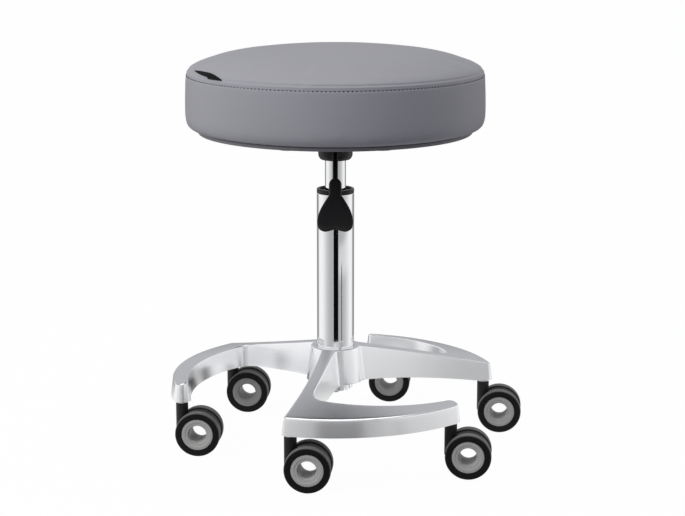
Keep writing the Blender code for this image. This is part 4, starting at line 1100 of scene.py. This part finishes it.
bpy.ops.object.select_all(action="DESELECT")
cushion.select_set(True)
bpy.context.view_layer.objects.active = cushion
bpy.ops.object.mode_set(mode="EDIT")
for step in range(-LOOPS_BELOW, LOOPS_ABOVE + 1):
    bpy.ops.mesh.select_all(action="SELECT")
    level = SEAM_HEIGHT + LOOP_SPACING * step
    bpy.ops.mesh.bisect(plane_co=(0, 0, level), plane_no=(0, 0, 1))
bpy.ops.object.mode_set(mode="OBJECT")
for vertex in cushion.data.vertices:
    level = vertex.co.z - SEAM_HEIGHT
    reach = vertex.co.xy.length
    if reach < SEAM_RADIUS - SEAM_ZONE or abs(level) > SEAM_ZONE:
        continue
    lip = SEAM_LIP * bell(level + LIP_DROP, LIP_WIDTH)
    groove = SEAM_GROOVE * bell(level - GROOVE_RISE, GROOVE_WIDTH)
    dip = STITCH_DIP * bell(level + STITCH_DROP, DIP_WIDTH)
    scale = (reach + lip - groove - dip) / reach
    vertex.co.x *= scale
    vertex.co.y *= scale
recalculate(cushion)
smooth(cushion, 180.0)

leatherette, place = new_finish("grey_leatherette")
pores = place.node("ShaderNodeTexVoronoi", {}, {"Vector": place, "Scale": 900.0})
creases = place.noise(260.0, 4.0)
tone = place.noise(7.0, 3.0)
set_surface(
    leatherette,
    {
        "Base Color": tone.mix((0.283, 0.283, 0.302, 1), (0.313, 0.313, 0.332, 1)),
        "Roughness": 0.44 + tone * 0.08,
        "Specular IOR Level": 0.3,
        "Normal": (pores * 0.6 + creases).bump(0.16, 0.0004),
    },
)
fit(cushion, "seat", leatherette, "grey_leatherette", "seat_cushion")

STITCH_COUNT, STITCH_LENGTH, STITCH_WIDTH, STITCH_BEND = 228, 0.0033, 0.0016, 0.9
NEAR_STITCHES = 0.0004
reaches = []
for vertex in cushion.data.vertices:
    if abs(vertex.co.z - SEAM_HEIGHT + STITCH_DROP) < NEAR_STITCHES:
        reaches.append(vertex.co.xy.length)
stitch_radius = sum(reaches) / len(reaches)
bpy.ops.mesh.primitive_uv_sphere_add(segments=10, ring_count=7, radius=0.5)
stitches = bpy.context.object
stitches.name = stitches.data.name = "cushion_stitches"
put(stitches, Matrix.Diagonal((STITCH_WIDTH, STITCH_LENGTH, STITCH_WIDTH, 1)))
for vertex in stitches.data.vertices:
    vertex.co.x -= STITCH_WIDTH * STITCH_BEND * (2 * vertex.co.y / STITCH_LENGTH) ** 2
put(stitches, Matrix.Translation((stitch_radius, 0, SEAM_HEIGHT - STITCH_DROP)))
bpy.ops.object.empty_add()
step_mark = bpy.context.object
step_mark.rotation_euler.z = 2 * math.pi / STITCH_COUNT
bpy.context.view_layer.update()
apply_modifier(
    stitches,
    "ARRAY",
    count=STITCH_COUNT,
    use_relative_offset=False,
    use_object_offset=True,
    offset_object=step_mark,
)
bpy.data.objects.remove(step_mark, do_unlink=True)
smooth(stitches)
thread, place = new_finish("dark_thread")
ply = place.stretched((900.0, 900.0, 300.0)).noise(1.0, 2.0)
set_surface(
    thread,
    {
        "Base Color": ply.mix((0.014, 0.014, 0.018, 1), (0.030, 0.030, 0.036, 1)),
        "Roughness": 0.6 + ply * 0.15,
        "Specular IOR Level": 0.2,
        "Normal": ply.bump(0.3, 0.0002),
    },
)
fit(stitches, "seat", thread, "black_fabric")

TAB_FROM, TAB_TO, TAB_THICKNESS = math.radians(199.0), math.radians(223.5), 0.0010
TAB_START, TAB_END, TAB_INNER = 0.0053, 0.0008, 0.0077
TAB_LEAN, TAB_WIDE_FROM, TAB_WIDE_TO, TAB_NARROWING = 0.65, 0.4, 0.55, 1.6
TAB_LIFT, TAB_GAP = 0.0008, 0.0001
bpy.ops.mesh.primitive_grid_add(x_subdivisions=48, y_subdivisions=8, size=1.0)
tab = bpy.context.object
tab.name = tab.data.name = "woven_tab"
for vertex in tab.data.vertices:
    share, across = vertex.co.x + 0.5, vertex.co.y + 0.5
    narrowed = max((share - TAB_WIDE_TO) / (1 - TAB_WIDE_TO), 0.0) ** TAB_NARROWING
    outer = max(TAB_START - (TAB_START - TAB_END) * share / TAB_LEAN, TAB_END)
    inner = TAB_INNER - (TAB_INNER - TAB_START) * max(1 - share / TAB_WIDE_FROM, 0.0) ** 2
    inner -= (TAB_INNER - TAB_END) * narrowed
    radius = SEAM_RADIUS - outer - (inner - outer) * across
    spot = polar(radius, TAB_FROM + (TAB_TO - TAB_FROM) * share)
    vertex.co = (spot.x, spot.y, SEAM_HEIGHT + TAB_LIFT + crown(radius))
bpy.ops.object.mode_set(mode="EDIT")
bpy.ops.mesh.select_all(action="SELECT")
bpy.ops.mesh.remove_doubles(threshold=0.00005)
bpy.ops.object.mode_set(mode="OBJECT")
apply_modifier(tab, "SHRINKWRAP", target=cushion, offset=TAB_GAP)
apply_modifier(tab, "SOLIDIFY", thickness=TAB_THICKNESS, offset=1.0)
recalculate(tab)
smooth(tab)
webbing, place = new_finish("black_fabric")
weave = place.node(
    "ShaderNodeTexWave", {"bands_direction": "DIAGONAL"}, {"Vector": place, "Scale": 700.0}
)
fuzz = place.noise(900.0, 3.0)
set_surface(
    webbing,
    {
        "Base Color": weave.mix((0.004, 0.004, 0.005, 1), (0.010, 0.010, 0.011, 1)),
        "Roughness": 0.72 + fuzz * 0.12,
        "Specular IOR Level": 0.1,
        "Normal": (weave + fuzz).bump(0.4, 0.0002),
    },
)
fit(tab, "seat", webbing, "black_fabric", "cushion_tab")


# Stage: a white floor that keeps a faint shadow, in a studio that the camera sees as white.
# Polished pieces mirror the studio's grey walls, bright cards and ceiling, and the dark flags that
# lie on the floor. Two soft lamps light the seat.

FLOOR_SIZE, FLOOR_DROP, FLOOR_GLOW, SHADOW_SHARE = 60.0, 0.0005, 1.03, 0.05
bpy.ops.mesh.primitive_plane_add(size=FLOOR_SIZE, location=(0, 0, -FLOOR_DROP))
floor = bpy.context.object
floor.name = "floor"
white, place = new_finish("white_floor")
light_path = white.node_tree.nodes.new("ShaderNodeLightPath")
seen, mirrored, through = (
    Value(light_path.outputs[f"Is {kind} Ray"]) for kind in ("Camera", "Glossy", "Transmission")
)
direction = place.node("ShaderNodeVectorMath", {"operation": "NORMALIZE"}, {0: place})
rightward = direction.node("ShaderNodeSeparateXYZ", {}, {0: direction}, 0)
forward = 0.0 - direction.node("ShaderNodeSeparateXYZ", {}, {0: direction}, 1)
distance = place.node("ShaderNodeVectorMath", {"operation": "LENGTH"}, {0: place}, "Value")
# Seen in reflections, the floor glows with painted shade: dimmer in front and behind, and less dim
# in a patch to the right that the front hook mirrors.
hook_painted_light_patch = rightward.ramp(0.2, 0.45) * distance.ramp(1.3, 1.7) * (1.0 - distance.ramp(2.2, 2.8))
dim_front = (forward + rightward * 0.12).ramp(-0.2, 0.95) * (0.54 - hook_painted_light_patch * 0.26)
dim_back = (0.0 - forward).ramp(0.45, 0.7) * distance.ramp(0.3, 0.5) * 0.7
shade = ((dim_front + dim_back) * mirrored).mix((1, 1, 1, 1), (0, 0, 0, 1))
lit = place.node("ShaderNodeBsdfDiffuse", {}, {"Color": (0.30, 0.30, 0.32, 1)})
glow = place.node("ShaderNodeEmission", {}, {"Color": shade, "Strength": FLOOR_GLOW})
share = (seen + mirrored + through) * (1 - SHADOW_SHARE)
backdrop = place.node("ShaderNodeMixShader", {}, {0: share, 1: lit, 2: glow})
floor_output = white.node_tree.nodes["Material Output"]
white.node_tree.links.new(backdrop.socket, floor_output.inputs["Surface"])
floor.data.materials.append(white)

black, place = new_finish("flag_cloth")
set_surface(
    black, {"Base Color": (0.003, 0.003, 0.003, 1), "Roughness": 1.0, "Specular IOR Level": 0.0}
)
FLAG_NEAR, FLAG_HEIGHT = 0.3, 0.0005
for name, first, last, far in (("front_flag", -11.5, 17.0, 5.0), ("side_flag", 36.0, 40.0, 1.4)):
    bpy.ops.mesh.primitive_plane_add(size=1.0)
    flag = bpy.context.object
    flag.name = name
    for vertex in flag.data.vertices:
        reach = far if vertex.co.y < 0 else FLAG_NEAR
        across = math.radians(last if vertex.co.x > 0 else first)
        vertex.co = (reach * math.tan(across), -reach, FLAG_HEIGHT)
    flag.data.materials.append(black)
    flag.visible_camera = flag.visible_diffuse = flag.visible_shadow = False

studio = bpy.data.worlds.new("studio")
bpy.context.scene.world = studio
studio.use_nodes = True
heading = Value(studio.node_tree.nodes.new("ShaderNodeTexCoord").outputs["Generated"])
light_path = studio.node_tree.nodes.new("ShaderNodeLightPath")
seen, mirrored = (Value(light_path.outputs[f"Is {kind} Ray"]) for kind in ("Camera", "Glossy"))
rightward, backward, upward = (
    heading.node("ShaderNodeSeparateXYZ", {}, {0: heading}, axis) for axis in range(3)
)
lit_left = (0.0 - rightward).ramp(0.3, 0.85) * 0.25
lit_right = rightward.ramp(0.6, 0.85) * backward.ramp(-0.1, 0.25)
lit_walls = (lit_left + lit_right).mix((0.145, 0.15, 0.22, 1), (2.0, 2.0, 2.01, 1))
lit_room = upward.ramp(0.62, 0.74).mix(lit_walls, (1.15, 1.15, 1.15, 1))
sides = rightward.ramp(0.50, 0.62) + (0.0 - rightward).ramp(0.4, 0.6)
front = (1.0 - rightward.ramp(0.30, 0.42)) * (0.0 - backward).ramp(0.0, 0.3)
cards = (sides + front * upward.ramp(0.04, 0.08)) * (1.0 - upward.ramp(0.25, 0.4))
seen_walls = backward.ramp(-0.3, 0.3).mix((0.40, 0.405, 0.425, 1), (0.48, 0.485, 0.505, 1))
seen_walls = cards.mix(seen_walls, (1.15, 1.15, 1.16, 1))
seen_room = (upward - backward * 0.25).ramp(0.83, 0.93).mix(seen_walls, (1.7, 1.7, 1.7, 1))
room = seen.mix(mirrored.mix(lit_room, seen_room), (1, 1, 1, 1))
studio.node_tree.links.new(room.socket, studio.node_tree.nodes["Background"].inputs["Color"])

for name, spot, aim, size, power in (
    ("key", (-1.7, -1.35, 1.35), (0, 0, 0.35), 1.2, 26.5),
    ("top", (0.0, -0.5, 2.4), (0, 0, 0.3), 1.2, 4.0),
):
    bpy.ops.object.light_add(type="AREA", location=spot)
    lamp = bpy.context.object
    lamp.name = name
    lamp.data.size = size
    lamp.data.energy = power
    lamp.visible_glossy = False
    lamp.rotation_euler = (Vector(aim) - Vector(spot)).to_track_quat("-Z", "Y").to_euler()

CAMERA_PLACE, CAMERA_TILT = (0.0094, -2.4685, 0.7784), math.radians(78.02)
bpy.ops.object.camera_add(location=CAMERA_PLACE, rotation=(CAMERA_TILT, 0, 0))
camera = bpy.context.object
camera.data.sensor_width = 36.0
camera.data.lens = 98.62
bpy.context.scene.camera = camera
bpy.context.scene.view_settings.view_transform = "Standard"
